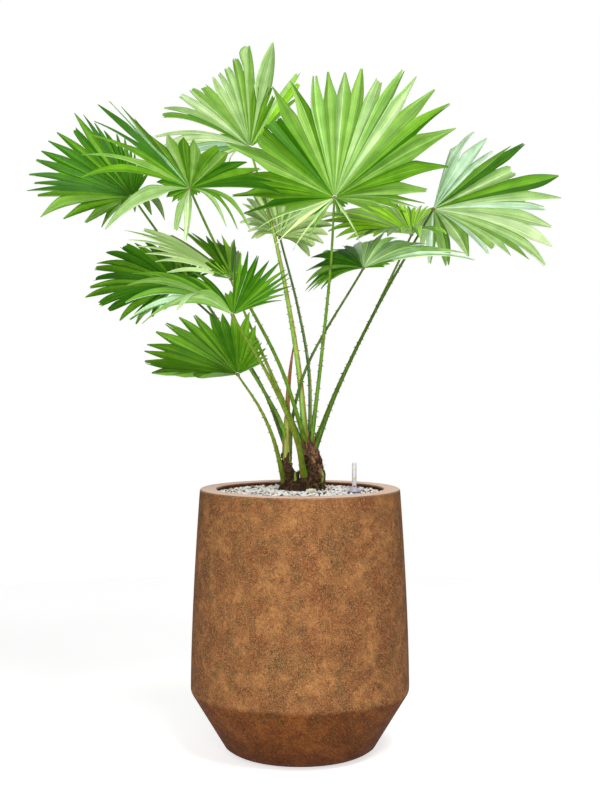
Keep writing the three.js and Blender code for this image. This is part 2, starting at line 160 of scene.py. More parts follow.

# The leaves, with angles in degrees. A stalk runs along path to the hub, where heading, rise
# and roll turn the blade. The leaflets fan out over span, and evenly spaced stations over it
# say how far they stand up from the blade's plane (lift), how long they are (reach), how much
# they bend down (droop), how far out they stay joined (split) and how wide they stay beyond
# that (width). tones has one letter for the green of each leaflet, a capital for one cut short
# and a dot for one torn off near the hub. under has the greens of their undersides and inner
# those near the hub, where they differ. wide makes single leaflets wider than the rest, and
# cuts ends them at a share of their length. ends has the shares of acute, forked and blunt
# tips, taper, twist and kink say how the leaflets narrow and how limp they hang, and
# pleat_shading is how many have one half a shade darker, as painted shade on one face of their
# pleats, and three tenths as many have one half a shade lighter, as painted light. stalk names
# a stalk's green and that of its flanks.
LEAVES = {
    "far_left": dict(
        hub=(-326, -20, 1097), heading=175, rise=-14, roll=-24, span=(-125, 145),
        lift=(14, 24, 6, 25, 32, 46, 57, 47, 52, 29),
        reach=(200, 175, 135, 225, 205, 200, 205, 150, 95, 60),
        droop=(0.9, 0.7, 0.5, 0.2, 0.1, 0.1, 0, 0.3, 0.1, 0.1),
        path=((-27, 48, 596), (-33, 41, 640), (-69, 63, 710), (-257, 88, 992)), radius=3.4,
        tones="lflflfmfmfmddddddddmddddmddddd", under="ffffffffffmmmmmmmmmmmmmmmmmmmm",
        stalk="green", split=(0.6, 0.6, 0.7, 0.76, 0.76, 0.72, 0.62), taper=(1.1, 1.6), pleat_shading=0.2,
    ),
    "left_high": dict(
        hub=(-203, -190, 1097), heading=180, rise=13, roll=-31, span=(-158, 145),
        lift=(24, 23, 10, -1, 21, 32, 32, 7, 6, 1, -1),
        reach=(180, 130, 165, 195, 250, 215, 240, 195, 175, 210, 225),
        droop=(1.7, 1.7, 1.3, 1.4, 0.8, 0.3, 0.1, 0.2, 0, 0.2, 0.3),
        path=((13, 40, 608), (-39, -10, 767), (-159, -145, 998)), radius=4.2,
        tones="fml...lL...l.flmddw.mfmfmfmfdmdd", under="wwwwwwwwwwwwwwwwwwwmfmfmfmdmdmdd",
        stalk="green", split=(0.5, 0.3, 0.3, 0.34, 0.42, 0.5, 0.58, 0.74, 0.8, 0.78, 0.68),
        width=(0.8, 0.8, 0.9, 0.9, 0.8, 0.8, 0.9, 1, 1, 1, 0.9), taper=(0.9, 1.5),
        wide={2: 2, 6: 2.2, 7: 2.2, 11: 2.6, 13: 1.7, 17: 2, 18: 0.7},
    ),
    "crown_left": dict(
        hub=(-102, 135, 1213), heading=126, rise=29, roll=-8, span=(-140, 110),
        lift=(28, 7, 19, 25, 41, 43, 45, 43, 43),
        reach=(185, 185, 235, 195, 165, 230, 255, 150, 160),
        droop=(0.9, 1, 0.8, 0.4, 0.3, 0.2, 0.1, 0.1, 0.1),
        path=((12, 50, 609), (-4, 42, 771), (-44, -27, 997)), radius=6.2,
        tones=".p.qwspp.mlplflllflmlmmyym...", under="p", stalk="light brown",
        split=(0.5, 0.58, 0.72, 0.78, 0.8, 0.76, 0.66, 0.6), width=(0.5, 0.7, 1, 1, 1, 1.1, 1.1, 1),
        taper=(1.5, 3), ends=(0.25, 0.1, 0.65), wide={9: 1.2, 18: 2.3, 20: 3.4, 23: 1.5, 24: 1.5},
        cuts={18: 0.97, 19: 0.42, 20: 1, 21: 0.4, 22: 0.36},
    ),
    "crown_right": dict(
        hub=(66, -70, 1091), heading=68, rise=57, roll=15, span=(-162, 162),
        lift=(-6, -12, -21, -5, 17, 31, 22, 30, 29, 9, 28, 30, 22),
        reach=(120, 160, 150, 245, 265, 240, 260, 280, 285, 185, 170, 155, 200),
        droop=(0.3, 0.3, 0.2, 0.3, 0.1, 0, 0.1, 0, 0.1, 0.4, 0.3, 0.4, 0.1),
        path=((22, 44, 609), (41, 20, 771), (60, -40, 968)), radius=4.2,
        tones="lp.qlplmmmfMDmfuflflulfmfmfmfmFL..p.", under="p", stalk="green",
        split=(0.4, 0.45, 0.5, 0.62, 0.74, 0.77, 0.77, 0.75, 0.66, 0.62, 0.5, 0.4),
        width=(0.5, 0.5, 0.55, 0.55, 0.75, 1, 1, 1, 1, 0.95, 0.9, 0.7, 0.6), taper=(0.9, 1.35),
    ),
    "back_middle": dict(
        hub=(-41, 138, 1029), heading=77, rise=74, roll=10, span=(-130, 130),
        lift=(74, 69, 50, 36, 51, 58), reach=(170, 175, 135, 175, 170, 170),
        droop=(0.6, 0.5, 0.3, 0.4, 0.5, 0.5), path=((20, 53, 607), (18, 75, 756), (-4, 103, 884)),
        radius=4, tones="qpqpqoqpqoqpqoqpqpqoqpqo", under="q", stalk="teal brown",
        split=(0.78, 0.8, 0.78, 0.76),
    ),
    "far_right": dict(
        hub=(268, 70, 1082), heading=-24, rise=-5, roll=-30, span=(-150, 69),
        lift=(-20, -19, 3, 23, 17, 11, 18, 17, 29, 12, 14),
        reach=(75, 70, 195, 255, 230, 275, 245, 265, 230, 215, 305),
        droop=(0.6, 0.8, 0.6, 0.5, 0.5, 0.5, 0.4, 0.2, 0, 0, 0.7),
        path=((28, 42, 594), (70, 34, 709), (154, 120, 878)), radius=4.4,
        tones="plslsflsflslplsldLdmsss", stalk="dark",
        split=(0.4, 0.5, 0.64, 0.74, 0.78, 0.76, 0.66, 0.5, 0.6), taper=(1.2, 1.9),
        wide={16: 1.3, 18: 1.3, 19: 1.3, 20: 1.2, 21: 1.4, 22: 0.6},
    ),
    "right_inner": dict(
        hub=(227, 108, 1034), heading=182, rise=0, roll=23, span=(-110, 150),
        lift=(-15, -16, -9, 24, 52, 63, 55, 51), reach=(200, 210, 175, 195, 165, 140, 150, 155),
        droop=(0.5, 0.5, 0.5, 0.4, 0.3, 0.3, 0.3, 0.3),
        path=((25, 52, 600), (76, 62, 724), (159, 148, 888)), radius=3.8,
        tones="yyyylyylyyyyyyyyyylyyyyyyyyyyy", stalk="green", split=(0.66, 0.7, 0.7, 0.7, 0.6),
        taper=(1.3, 2),
    ),
    "right_low": dict(
        hub=(124, 0, 960), heading=67, rise=-4, roll=-18, span=(-120, 120),
        lift=(6, 19, 40, 36, 42, 19, -2, -18), reach=(90, 140, 180, 200, 170, 170, 230, 175),
        droop=(1.1, 1, 0.5, 0.4, 0.6, 0.7, 0.6, 0.7),
        path=((-21, 47, 575), (-13, 36, 673), (16, 20, 771)), radius=3.2,
        tones="dmddmddmdmsvspvspvsps...", under="mfmmfmmfmmsvsvpvsvsvpvsv", stalk="dark",
        split=(0.6, 0.7, 0.72, 0.66, 0.6, 0.5),
    ),
    "left_back": dict(
        hub=(-247, 90, 930), heading=178, rise=-1, roll=-27, span=(-85, 145),
        lift=(17, -3, 6, 12, 17, 15, 9, 5), reach=(215, 145, 190, 195, 185, 155, 100, 75),
        droop=(0.4, 0.5, 0.4, 0.3, 0.2, 0.2, 0.2, 0.2),
        path=((-30, 56, 608), (-74, 77, 718), (-151, 101, 838)), radius=3.6,
        tones="dmmdmmdmmdmmddmdmmdmdmdd", under="m", stalk="dark",
        split=(0.6, 0.72, 0.74, 0.72, 0.6), ends=(0.3, 0.2, 0.5), taper=(1.8, 3), pleat_shading=0.2,
    ),
    "left_front": dict(
        hub=(-121, -260, 863), heading=122, rise=15, roll=21, span=(-105, 105),
        lift=(23, -2, 11, 24, 48, 38, 44, 50, 47),
        reach=(175, 200, 220, 150, 175, 200, 175, 145, 90),
        droop=(1.5, 1.4, 0.8, 0.8, 0.5, 0, 0, 0.2, 0.4),
        path=((8, 29, 548), (-6, -20, 622), (-52, -100, 734)), radius=5.8,
        tones="pwfswmmdmd..dmddddmdmdmd", under="u", stalk="olive green",
        split=(0.5, 0.6, 0.66, 0.64, 0.44, 0.6, 0.66, 0.6, 0.5), taper=(1.2, 1.9), pleat_shading=0.5,
    ),
    "left_middle": dict(
        hub=(-137, 30, 940), heading=187, rise=26, roll=-10, span=(-80, 110),
        lift=(14, -3, 3, 5, 16, 24, 18, -6), reach=(225, 200, 185, 235, 195, 125, 205, 195),
        droop=(0.3, 0.4, 0.5, 0.4, 0.4, 0.3, 0, 0),
        path=((9, 43, 600), (-38, 30, 708), (-93, 43, 832)), radius=4.2,
        tones="....v.vvvvvvL.mymymyymym", stalk="olive",
        split=(0.3, 0.4, 0.44, 0.46, 0.5, 0.8, 0.7, 0.66), taper=(1.1, 1.7),
        inner="mymdmymymdmymymymyyymymy", wide={4: 2.2, 6: 1.6, 7: 1.7, 8: 1.6, 10: 1.5, 11: 1.6},
    ),
    "left_low": dict(
        hub=(-120, -60, 752), heading=152, rise=39, roll=-15, span=(-100, 105),
        lift=(23, 1, 0, 8, 16, 21, 13, 30), reach=(180, 210, 190, 170, 140, 150, 105, 65),
        droop=(0, 0, 0.1, 0.1, 0.1, 0, 0, 0),
        path=((-32, 45, 534), (-52, 11, 620), (-78, -19, 683)), radius=4.8,
        tones="mmmmmmmmmmmmmmmmmmd", under="m", stalk="olive green",
        split=(0.8, 0.78, 0.74, 0.74, 0.74, 0.72, 0.6), taper=(1.0, 1.4), pleat_shading=0.1, twist=3,
        kink=0.02,
    ),
}

# The stems, with radii at even stations along each path, and how many fibres and roots wrap
# them and the mound. A stem's fibres start below a share of its height.
STEM_SIDES = 56
STEM_STEPS = 60
STEMS = {
    "stem_main": dict(
        path=((26, 45, 516), (27, 45, 553), (22, 46, 588), (16, 46, 614)),
        radii=(20, 19, 15.5, 11),
    ),
    "stem_left": dict(
        path=((-26, 50, 516), (-27, 50, 553), (-28.5, 48.5, 580), (-28, 48, 596)),
        radii=(9.8, 9.5, 8.6, 6),
    ),
}
STEM_FIBRES = (("stem_main", 520, 0.78), ("stem_left", 240, 0.5))
STEM_ROOTS = (("stem_main", 52), ("stem_left", 34))
MOUND_STRANDS = 620
MOUND_ROOTS = 120
LOOSE_THREADS = 22

# The rolled young leaf, the sheath round its foot, and what is left of old stalks, with radii
# at even stations along each path
SPEAR = dict(
    path=((-27, 46, 640), (-25, 44, 690), (-21, 42, 745), (-12, 40, 815)),
    radii=(3.4, 4.4, 4.3, 3.4, 2.4, 0.7),
)
SPEAR_SHEATH = dict(
    path=((-27.5, 48, 576), (-27, 47, 618), (-26, 46, 655), (-23.5, 44, 694)),
    radii=(8.9, 8.4, 7.4, 5.9, 3.2),
)
HUSKS = (
    dict(path=((7, 34, 514), (8, 32, 532), (8, 30, 552)), radii=(9, 8, 6.8)),
    dict(path=((-9, 45, 514), (-9, 44, 536), (-8, 43, 557)), radii=(10, 8.5, 6.5)),
)
SHOOT = dict(path=((-9, 33, 536), (-9.5, 32, 547), (-9, 31.5, 556)), radii=(2.9, 1.9))
HOOKED_STUB = ((40, 36, 516), (43.5, 35, 532), (44, 34, 547), (41, 33, 562))
LYING_STUB = ((13, 8, 519), (21, 6.5, 521), (30, 9, 520))


# Node helpers for the materials

def linear(colour):
    """A display colour as the linear one that a shader takes, and anything else as it is."""
    if not isinstance(colour, tuple) or len(colour) != 3:
        return colour
    shares = [value / 255 for value in colour]
    return (*[s / 12.92 if s <= 0.04045 else ((s + 0.055) / 1.055) ** 2.4 for s in shares], 1)


def feed(tree, socket, value):
    """Links another node's output to a socket, or sets a plain value there."""
    if isinstance(value, bpy.types.NodeSocket):
        tree.links.new(value, socket)
    else:
        socket.default_value = value


def add_node(tree, kind, inputs=None, **properties):
    made = tree.nodes.new(kind)
    for key, value in properties.items():
        setattr(made, key, value)
    for key, value in (inputs or {}).items():
        feed(tree, made.inputs[key], value)
    return made


class Shader:
    """A node material with its Principled shader, and short calls for the nodes that feed it."""

    def __init__(self, name, roughness, **sockets):
        self.material = bpy.data.materials.new(name)
        self.material.use_nodes = True
        self.tree = self.material.node_tree
        self.set("Roughness", roughness)
        for socket, value in sockets.items():
            self.set(socket.replace("_", " "), value)

    def set(self, socket, value):
        feed(self.tree, self.tree.nodes["Principled BSDF"].inputs[socket], linear(value))

    def node(self, kind, inputs=None, **properties):
        return add_node(self.tree, kind, inputs, **properties)

    def moved(self, vector, **how):
        return self.node("ShaderNodeMapping", {"Vector": vector, **how}).outputs["Vector"]

    def place(self, scale=(1, 1, 1), uv=None):
        """The object's own coordinates, or those of a UV map, stretched by scale."""
        if uv:
            source = self.node("ShaderNodeUVMap", uv_map=uv).outputs["UV"]
        else:
            source = self.node("ShaderNodeTexCoord").outputs["Object"]
        return self.moved(source, Scale=scale)

    def height(self, vector):
        return self.node("ShaderNodeSeparateXYZ", {"Vector": vector}).outputs["Z"]

    def noise(self, where, scale, detail=3, roughness=0.5, distortion=0):
        inputs = {"Vector": where, "Scale": scale, "Detail": detail, "Roughness": roughness,
                  "Distortion": distortion}
        return self.node("ShaderNodeTexNoise", inputs).outputs["Fac"]

    def spots(self, where, scale, gone, full):
        """Round spots: how far out each one is gone, and how far out it still is full."""
        inputs = {"Vector": where, "Scale": scale}
        far = self.node("ShaderNodeTexVoronoi", inputs).outputs["Distance"]
        return self.between(self.between(far, gone, full), 0, 1.3)

    def between(self, value, low, high):
        """How far value has come from low to high, from 0 to 1."""
        inputs = {"Value": value, "From Min": low, "From Max": high}
        return self.node("ShaderNodeMapRange", inputs).outputs["Result"]

    def mix(self, factor, first, second, blend="MIX"):
        inputs = {0: factor, 6: linear(first), 7: linear(second)}
        return self.node("ShaderNodeMix", inputs, data_type="RGBA", blend_type=blend).outputs[2]

    def tint(self, where, base, strength, colour, blend="MIX"):
        """base, with colour over it in the places that where tells."""
        return self.mix(where, base, self.mix(strength, base, colour, blend))

    def bump(self, height, distance, strength=1):
        inputs = {"Height": height, "Distance": distance, "Strength": strength}
        self.set("Normal", self.node("ShaderNodeBump", inputs).outputs["Normal"])


def leaf_green(name, colour, vein, roughness=0.45, shine=0.14, marked=1, bloom=0):
    """A waxy leaf face: fine veins and darker stripes along each leaflet, and soft patches."""
    made = Shader(f"leaf_{name}", roughness, Specular_IOR_Level=shine, Sheen_Weight=bloom,
                  Sheen_Roughness=0.6)
    fine = made.noise(made.place((14, 0.05, 1), uv="veins"), 1, 2)
    stripe = made.noise(made.place((2.6, 0.035, 1), uv="veins"), 1, 2)
    patch = made.noise(made.place(), 30, 3)
    look = made.mix(made.between(fine, 0.42, 0.7), colour, vein)
    for factor, dark, light in (
        (made.between(stripe, 0.36, 0.62), (0.62, 0.7, 0.6, 1), (1.1, 1.08, 1.1, 1)),
        (made.between(patch, 0.32, 0.68), (0.8, 0.84, 0.76, 1), (1.14, 1.1, 1.16, 1)),
    ):
        look = made.mix(marked, look, made.mix(factor, dark, light), "MULTIPLY")
    made.set("Base Color", look)
    made.bump(fine, 0.0006, 0.6)
    return made.material


# Each letter of tones: the letters one shade darker and lighter, and the green's looks
GREENS = {
    "d": ("dm", "deep", (54, 112, 8), (74, 134, 18)),
    "m": ("df", "mid", (89, 143, 14), (117, 168, 40)),
    "f": ("ml", "fresh", (118, 164, 56), (150, 190, 100)),
    "l": ("fp", "light", (150, 187, 106), (184, 213, 150)),
    "p": ("lq", "pale", (184, 212, 148), (216, 234, 190)),
    # The waxy green's pale bluish veins are painted sheen, over the real gloss that its shine gives
    "w": ("ms", "waxy", (104, 160, 80), (192, 224, 190), 0.34, 0.4),
    "q": ("pq", "palest", (218, 244, 150), (244, 254, 210), 0.45, 0.14, 0.3),
    # The downy green is the palest one made brighter and less marked: painted light for straps that lie
    # in shade. Its sheen is real
    "v": ("qv", "downy", (212, 255, 142), (236, 255, 194), 0.45, 0.14, 0.2, 0.8),
    "s": ("fs", "silver", (172, 212, 164), (226, 244, 228), 0.34, 0.4),
    "y": ("ml", "yellow", (168, 232, 34), (204, 250, 92)),
    "u": ("ml", "underside", (128, 176, 70), (164, 206, 116), 0.6, 0.1),
    "o": ("up", "old_underside", (166, 196, 122), (196, 218, 156), 0.6, 0.1),
}
TONES = list(GREENS)
DARKER, LIGHTER = ({letter: row[0][side] for letter, row in GREENS.items()} for side in (0, 1))
LEAF_GREENS = [leaf_green(*row[1:]) for row in GREENS.values()]


def stalk_green(name, colour, streak):
    """A stalk's skin: fine streaks along it, and brown patches."""
    made = Shader(f"stalk_{name}", 0.45, Specular_IOR_Level=0.2)
    along = made.noise(made.place((420, 420, 14)), 1, 3)
    patch = made.noise(made.place((1, 1, 0.5)), 70, 3)
    look = made.mix(made.between(along, 0.35, 0.7), colour, streak)
    shade = made.mix(made.between(patch, 0.42, 0.75), (1, 1, 1, 1), (0.6, 0.42, 0.3, 1))
    made.set("Base Color", made.mix(0.7, look, shade, "MULTIPLY"))
    made.bump(along, 0.0006, 0.4)
    return made.material


STALK_GREENS = {name: stalk_green(name, colour, streak) for name, colour, streak in (
    ("green", (72, 114, 10), (108, 148, 32)),
    ("light", (118, 168, 52), (152, 194, 92)),
    ("olive", (92, 110, 16), (138, 150, 48)),
    ("dark", (52, 82, 8), (84, 114, 22)),
    ("teal", (52, 102, 54), (84, 134, 82)),
    ("brown", (136, 128, 50), (164, 162, 82)),
)}


def earthy(name, dark, light, scale=90, roughness=0.9, stretch=(1, 1, 1), depth=0.0012):
    """A dull rough finish of two colours, for bark, fibres, the bed's painted shade and dry ends."""
    made = Shader(name, roughness, Specular_IOR_Level=0.2)
    grain = made.noise(made.place(stretch), scale, 5, 0.65)
    made.set("Base Color", made.mix(made.between(grain, 0.35, 0.68), dark, light))
    made.bump(grain, depth, 0.8)
    return made.material


BARK = earthy("bark_core", (38, 25, 16), (92, 66, 42), 260, stretch=(1, 1, 0.35))
FIBRES = [earthy(f"fibre_{name}", dark, light, 500) for name, dark, light in (
    ("dark", (34, 22, 14), (62, 44, 28)),
    ("brown", (72, 50, 32), (112, 84, 56)),
    ("tan", (122, 96, 64), (160, 134, 96)),
)]
SHEATHS = [earthy(f"sheath_{name}", *looks) for name, *looks in (
    ("pink", (82, 50, 38), (172, 118, 92), 170, 0.8, (1, 1, 0.2)),
    ("brown", (44, 28, 20), (98, 66, 46), 170, 0.8, (1, 1, 0.2)),
    ("green", (104, 128, 50), (156, 176, 84), 120, 0.6, (1, 1, 0.15)),
    ("tan", (96, 68, 44), (170, 132, 90), 170, 0.8, (1, 1, 0.2)),
)]
GRANULES = [earthy(f"granule_{name}", dark, light, 400) for name, dark, light in (
    ("white", (240, 238, 234), (254, 254, 252)),
    ("blue", (198, 210, 222), (226, 234, 242)),
    ("cream", (210, 178, 166), (234, 212, 202)),
    ("brown", (124, 100, 90), (170, 146, 132)),
    ("dark", (40, 32, 36), (78, 66, 70)),
)]


def pot_finish(name, roughness, sheen):
    """Mottled fibre composite: ochre clouded with red-brown and olive, fibres, pits and specks."""
    made = Shader(name, roughness, Specular_IOR_Level=sheen)
    where = made.place()
    clouds = made.noise(where, 17, 5, 0.62, 0.3)
    blotches = made.noise(made.place((1.1, 0.9, 1)), 42, 5, 0.66, 0.5)
    olive = made.noise(made.place((0.9, 1.2, 1.1)), 26, 5, 0.7, 0.4)
    fine = made.noise(made.place((1, 1.1, 0.9)), 64, 6, 0.68, 1.6)
    grain = made.noise(where, 520, 2, 0.6)
    look = made.mix(made.between(clouds, 0.36, 0.62), (104, 62, 36), (157, 109, 64))
    look = made.mix(made.between(blotches, 0.42, 0.66), look, (104, 57, 34))
    look = made.mix(made.between(olive, 0.48, 0.68), look, (84, 62, 36))
    look = made.tint(made.between(fine, 0.45, 0.63), look, 0.38, (52, 30, 16))
    look = made.mix(made.between(grain, 0.3, 0.7), made.mix(0.2, look, (52, 31, 17)), look)
    for turn, colour in (
        ((0.9, 0.2, 0.1), (190, 140, 86)), ((-0.8, 0.5, 0.7), (190, 142, 90)),
        ((0.3, 1.2, 0.4), (66, 38, 22)), ((1.5, 0.1, 1.1), (184, 132, 78)),
    ):
        source = made.node("ShaderNodeTexCoord").outputs["Object"]
        drawn = made.moved(made.moved(source, Rotation=turn), Scale=(600, 600, 62))
        fibre = made.between(made.noise(drawn, 1, 1), 0.55, 0.72)
        look = made.mix(made.between(fibre, 0, 2.3), look, colour)
    look = made.mix(made.spots(where, 95, 0.15, 0.07), look, (40, 24, 15))
    look = made.mix(made.spots(made.place((1, 1, 1.07)), 44, 0.08, 0.05), look, (164, 50, 28))

    normal = made.node("ShaderNodeNewGeometry").outputs["Normal"]
    facing = made.node("ShaderNodeVectorMath", {0: where, 1: normal}, operation="DOT_PRODUCT")
    outline_shade_mask = made.node("ShaderNodeLayerWeight", {"Blend": 0.35}).outputs["Facing"]
    # Painted shade: the foot below the rounded edge, which faces the floor, is darker
    edge = POT_EDGE_HEIGHT * MM
    foot = made.between(made.height(where), edge + 0.003, edge - 0.005)
    look = made.tint(foot, look, 0.9, (194, 164, 116), "MULTIPLY")
    # Painted shade: darker towards the bottom, near the floor
    low = made.between(made.height(where), 0.09, 0)
    look = made.tint(low, look, 0.8, (160, 134, 98), "MULTIPLY")
    # Painted shade: darker where the surface turns away from view, at the pot's outline
    look = made.tint(made.between(outline_shade_mask, 0.45, 1), look, 0.9, (222, 198, 164), "MULTIPLY")
    # Painted highlight: faces that look upwards, such as the top of the rim, are lighter and pinker
    look = made.tint(made.between(made.height(normal), 0.55, 0.95), look, 0.92, (248, 206, 182))
    # Painted shade: the inner wall, whose faces look towards the axis, is darker
    inside_shade_mask = made.between(facing.outputs["Value"], -0.02, -0.06)
    made.set("Base Color", made.tint(inside_shade_mask, look, 0.9, (150, 120, 100), "MULTIPLY"))
    made.bump(grain, 0.0008, 0.5)
    return made.material


def plastic(name, colour, roughness=0.35):
    """A plain moulded plastic, a little uneven in its colour."""
    made = Shader(name, roughness)
    grain = made.noise(made.place(), 300, 2)
    full = linear(colour)
    dull = tuple(0.9 * channel for channel in full[:3]) + (1,)
    made.set("Base Color", made.mix(made.between(grain, 0.35, 0.65), dull, full))
    made.bump(grain, 0.0001, 0.2)
    return made.material


# Mesh helpers

class Builder:
    """Gathers points, faces and each face's material, and makes one mesh of them."""

    def __init__(self):
        self.points = []
        self.faces = []
        self.slots = []
        self.uvs = []
        self.count = 0

    def add(self, points, faces, slots=0, uvs=None):
        points = np.asarray(points, float).reshape(-1, 3)
        self.faces += [tuple(corner + self.count for corner in face) for face in faces]
        self.slots += [slots] * len(faces) if isinstance(slots, int) else list(slots)
        self.points.append(points)
        self.uvs.append(np.zeros((len(points), 2)) if uvs is None else uvs)
        self.count += len(points)
        return self

    def make(self, name, materials, slot, nodes=(), crisp=CREASE):
        mesh = bpy.data.meshes.new(name)
        mesh.from_pydata((np.concatenate(self.points) * MM).tolist(), [], self.faces)
        for material in materials:
            mesh.materials.append(material)
        mesh.polygons.foreach_set("material_index", np.array(self.slots, np.int32))
        layer = mesh.uv_layers.new(name="veins")
        corners = np.empty(len(mesh.loops), np.int32)
        mesh.loops.foreach_get("vertex_index", corners)
        layer.data.foreach_set("uv", np.concatenate(self.uvs)[corners].astype(np.float32).ravel())
        mesh.shade_smooth()
        mesh.set_sharp_from_angle(angle=math.radians(crisp))
        mesh.validate()
        piece = bpy.data.objects.new(name, mesh)
        bpy.context.collection.objects.link(piece)
        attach(piece, "root")
        if nodes:
            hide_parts(*nodes)


def unit(vectors):
    return vectors / np.maximum(np.linalg.norm(vectors, axis=-1, keepdims=True), 1e-9)


def turns(count):
    """The angles of points spaced evenly round a circle."""
    return np.arange(count) * FULL_TURN / count


def station(values, shares):
    """The value at shares of the way along a row of evenly spaced ones."""
    return np.interp(np.clip(shares, 0, 1), np.linspace(0, 1, len(values)), values)


def pick(rng, *shares):
    return int(rng.choice(len(shares), p=shares))


def smooth_path(points, count):
    """count points, evenly spaced, on a centripetal Catmull-Rom curve through the points."""
    points = np.asarray(points, float)
    knots = np.vstack([2 * points[0] - points[1], points, 2 * points[-1] - points[-2]])
    fine = []
    for i in range(1, len(knots) - 2):
        p0, p1, p2, p3 = knots[i - 1:i + 3]
        gaps = [max(np.linalg.norm(b - a), 1e-6) ** 0.5 for a, b in ((p0, p1), (p1, p2), (p2, p3))]
        t1, t2, t3 = np.cumsum(gaps)
        for t in np.linspace(t1, t2, FINE_STEPS, endpoint=False):
            a1 = p0 + (p1 - p0) * t / t1
            a2 = p1 + (p2 - p1) * (t - t1) / (t2 - t1)
            a3 = p2 + (p3 - p2) * (t - t2) / (t3 - t2)
            b1 = a1 + (a2 - a1) * t / t2
            b2 = a2 + (a3 - a2) * (t - t1) / (t3 - t1)
            fine.append(b1 + (b2 - b1) * (t - t1) / (t2 - t1))
    fine = np.array([*fine, points[-1]])
    length = np.concatenate([[0], np.cumsum(np.linalg.norm(np.diff(fine, axis=0), axis=1))])
    wanted = np.linspace(0, length[-1], count)
    return np.stack([np.interp(wanted, length, fine[:, axis]) for axis in range(3)], axis=1)


def tapered_path(shape, count):
    """A shape's path as count points, and its radii at them."""
    return smooth_path(shape["path"], count), station(shape["radii"], np.linspace(0, 1, count))


def carried_frames(path, side=(1, 0, 0)):
    """Tangent, side and third axis at each point of a path, without twist."""
    tangents = unit(np.gradient(path, axis=0))
    sides = np.empty_like(path)
    side = np.asarray(side, float)
    for i, tangent in enumerate(tangents):
        side = side - tangent * side.dot(tangent)
        side = side / max(np.linalg.norm(side), 1e-9)
        sides[i] = side
    return tangents, sides, np.cross(tangents, sides)


def ring_faces(rings, sides, start=0):
    """Quads between rings of points that follow each other from the point start on."""
    return [
        (low + j, low + (j + 1) % sides, low + sides + (j + 1) % sides, low + sides + j)
        for low in range(start, start + (rings - 1) * sides, sides) for j in range(sides)
    ]


def sheet_faces(rows, columns):
    return [
        (a, a + 1, a + columns + 1, a + columns)
        for row in range(rows - 1) for a in range(row * columns, (row + 1) * columns - 1)
    ]


def tube(path, radii, sides=8, side=(1, 0, 0), squeeze=None):
    """Points and faces of a closed tube along a path. squeeze(angles, i) scales a ring's radii."""
    _, across, third = carried_frames(path, side)
    angles = turns(sides)
    rings = []
    for i, centre in enumerate(path):
        radius = radii[i] * (squeeze(angles, i) if squeeze else np.ones(sides))
        offset = np.outer(radius * np.cos(angles), across[i])
        rings.append(centre + (offset + np.outer(radius * np.sin(angles), third[i])))
    last = (len(path) - 1) * sides
    ends = [tuple(range(sides))[::-1], tuple(range(last, last + sides))]
    return np.concatenate(rings), ring_faces(len(path), sides) + ends


def swollen_tube(path, radii, sides, swell):
    """A tube whose points are pushed outwards by swell(points)."""
    points, faces = tube(path, radii, sides)
    outward = unit(points - np.repeat(path, sides, axis=0))
    return points + outward * swell(points)[:, None], faces


def rough(points, scale, seed, height=1):
    """Smooth noise at each point, drawn out upwards where height is under 1."""
    shift = Vector((seed, seed, seed))
    return np.array([noise.noise(Vector(p * (1, 1, height)) * scale + shift) for p in points])


def thicken(points, faces, slots, under_slots, uvs, depth):
    """A sheet closed into a thin solid: its copy underneath and walls round its free edges."""
    points = np.asarray(points)
    corners = np.array(faces)
    a, b, c, d = (points[corners[:, i]] for i in range(4))
    face_normals = np.cross(c - a, d - b)
    normals = np.zeros_like(points)
    for i in range(4):
        np.add.at(normals, corners[:, i], face_normals)
    lower = points - unit(normals) * depth
    count = len(points)
    all_faces = [*faces, *[tuple(corner + count for corner in face[::-1]) for face in faces]]
    all_slots = [*slots, *under_slots]
    open_edges = {}
    for face, slot in zip(faces, slots):
        for start, end in zip(face, face[1:] + face[:1]):
            if open_edges.pop((end, start), None) is None:
                open_edges[(start, end)] = slot
    for (start, end), slot in open_edges.items():
        all_faces.append((end, start, start + count, end + count))
        all_slots.append(slot)
    return np.concatenate([points, lower]), all_faces, all_slots, np.concatenate([uvs, uvs])


# The blades

def blade_axes(leaf):
    """The blade's own axes: forward along the middle leaflet, side to its right, normal upwards."""
    heading, rise, roll = (math.radians(leaf[key]) for key in ("heading", "rise", "roll"))
    level = math.cos(rise)
    forward = np.array([level * math.cos(heading), level * math.sin(heading), math.sin(rise)])
    right = np.array([math.sin(heading), -math.cos(heading), 0])
    upright = np.cross(right, forward)
    normal = upright * math.cos(roll) + right * math.sin(roll)
    return forward, right * math.cos(roll) - upright * math.sin(roll), normal


def ribs(leaf, angles):
    """The ribs at these fan angles, as lines from the hub to the tip, and their lengths."""
    forward, side, normal = blade_axes(leaf)
    shares = (angles - leaf["span"][0]) / (leaf["span"][1] - leaf["span"][0])
    lift = np.radians(station(leaf["lift"], shares))[:, None]
    reach, droop = (station(leaf[key], shares) for key in ("reach", "droop"))
    fan = np.radians(angles)[:, None]
    start = np.cos(lift) * (np.cos(fan) * forward + np.sin(fan) * side) + np.sin(lift) * normal
    along = (np.arange(CURVE_STEPS) + 0.5) / CURVE_STEPS
    direction = np.repeat(start[:, None, :], CURVE_STEPS, axis=1)
    direction[:, :, 2] -= droop[:, None] * along[None, :] ** BEND_POWER
    steps = unit(direction) * (reach / CURVE_STEPS)[:, None, None]
    lines = np.concatenate([np.zeros((len(angles), 1, 3)), np.cumsum(steps, axis=1)], axis=1)
    return lines + np.array(leaf["hub"], float), reach


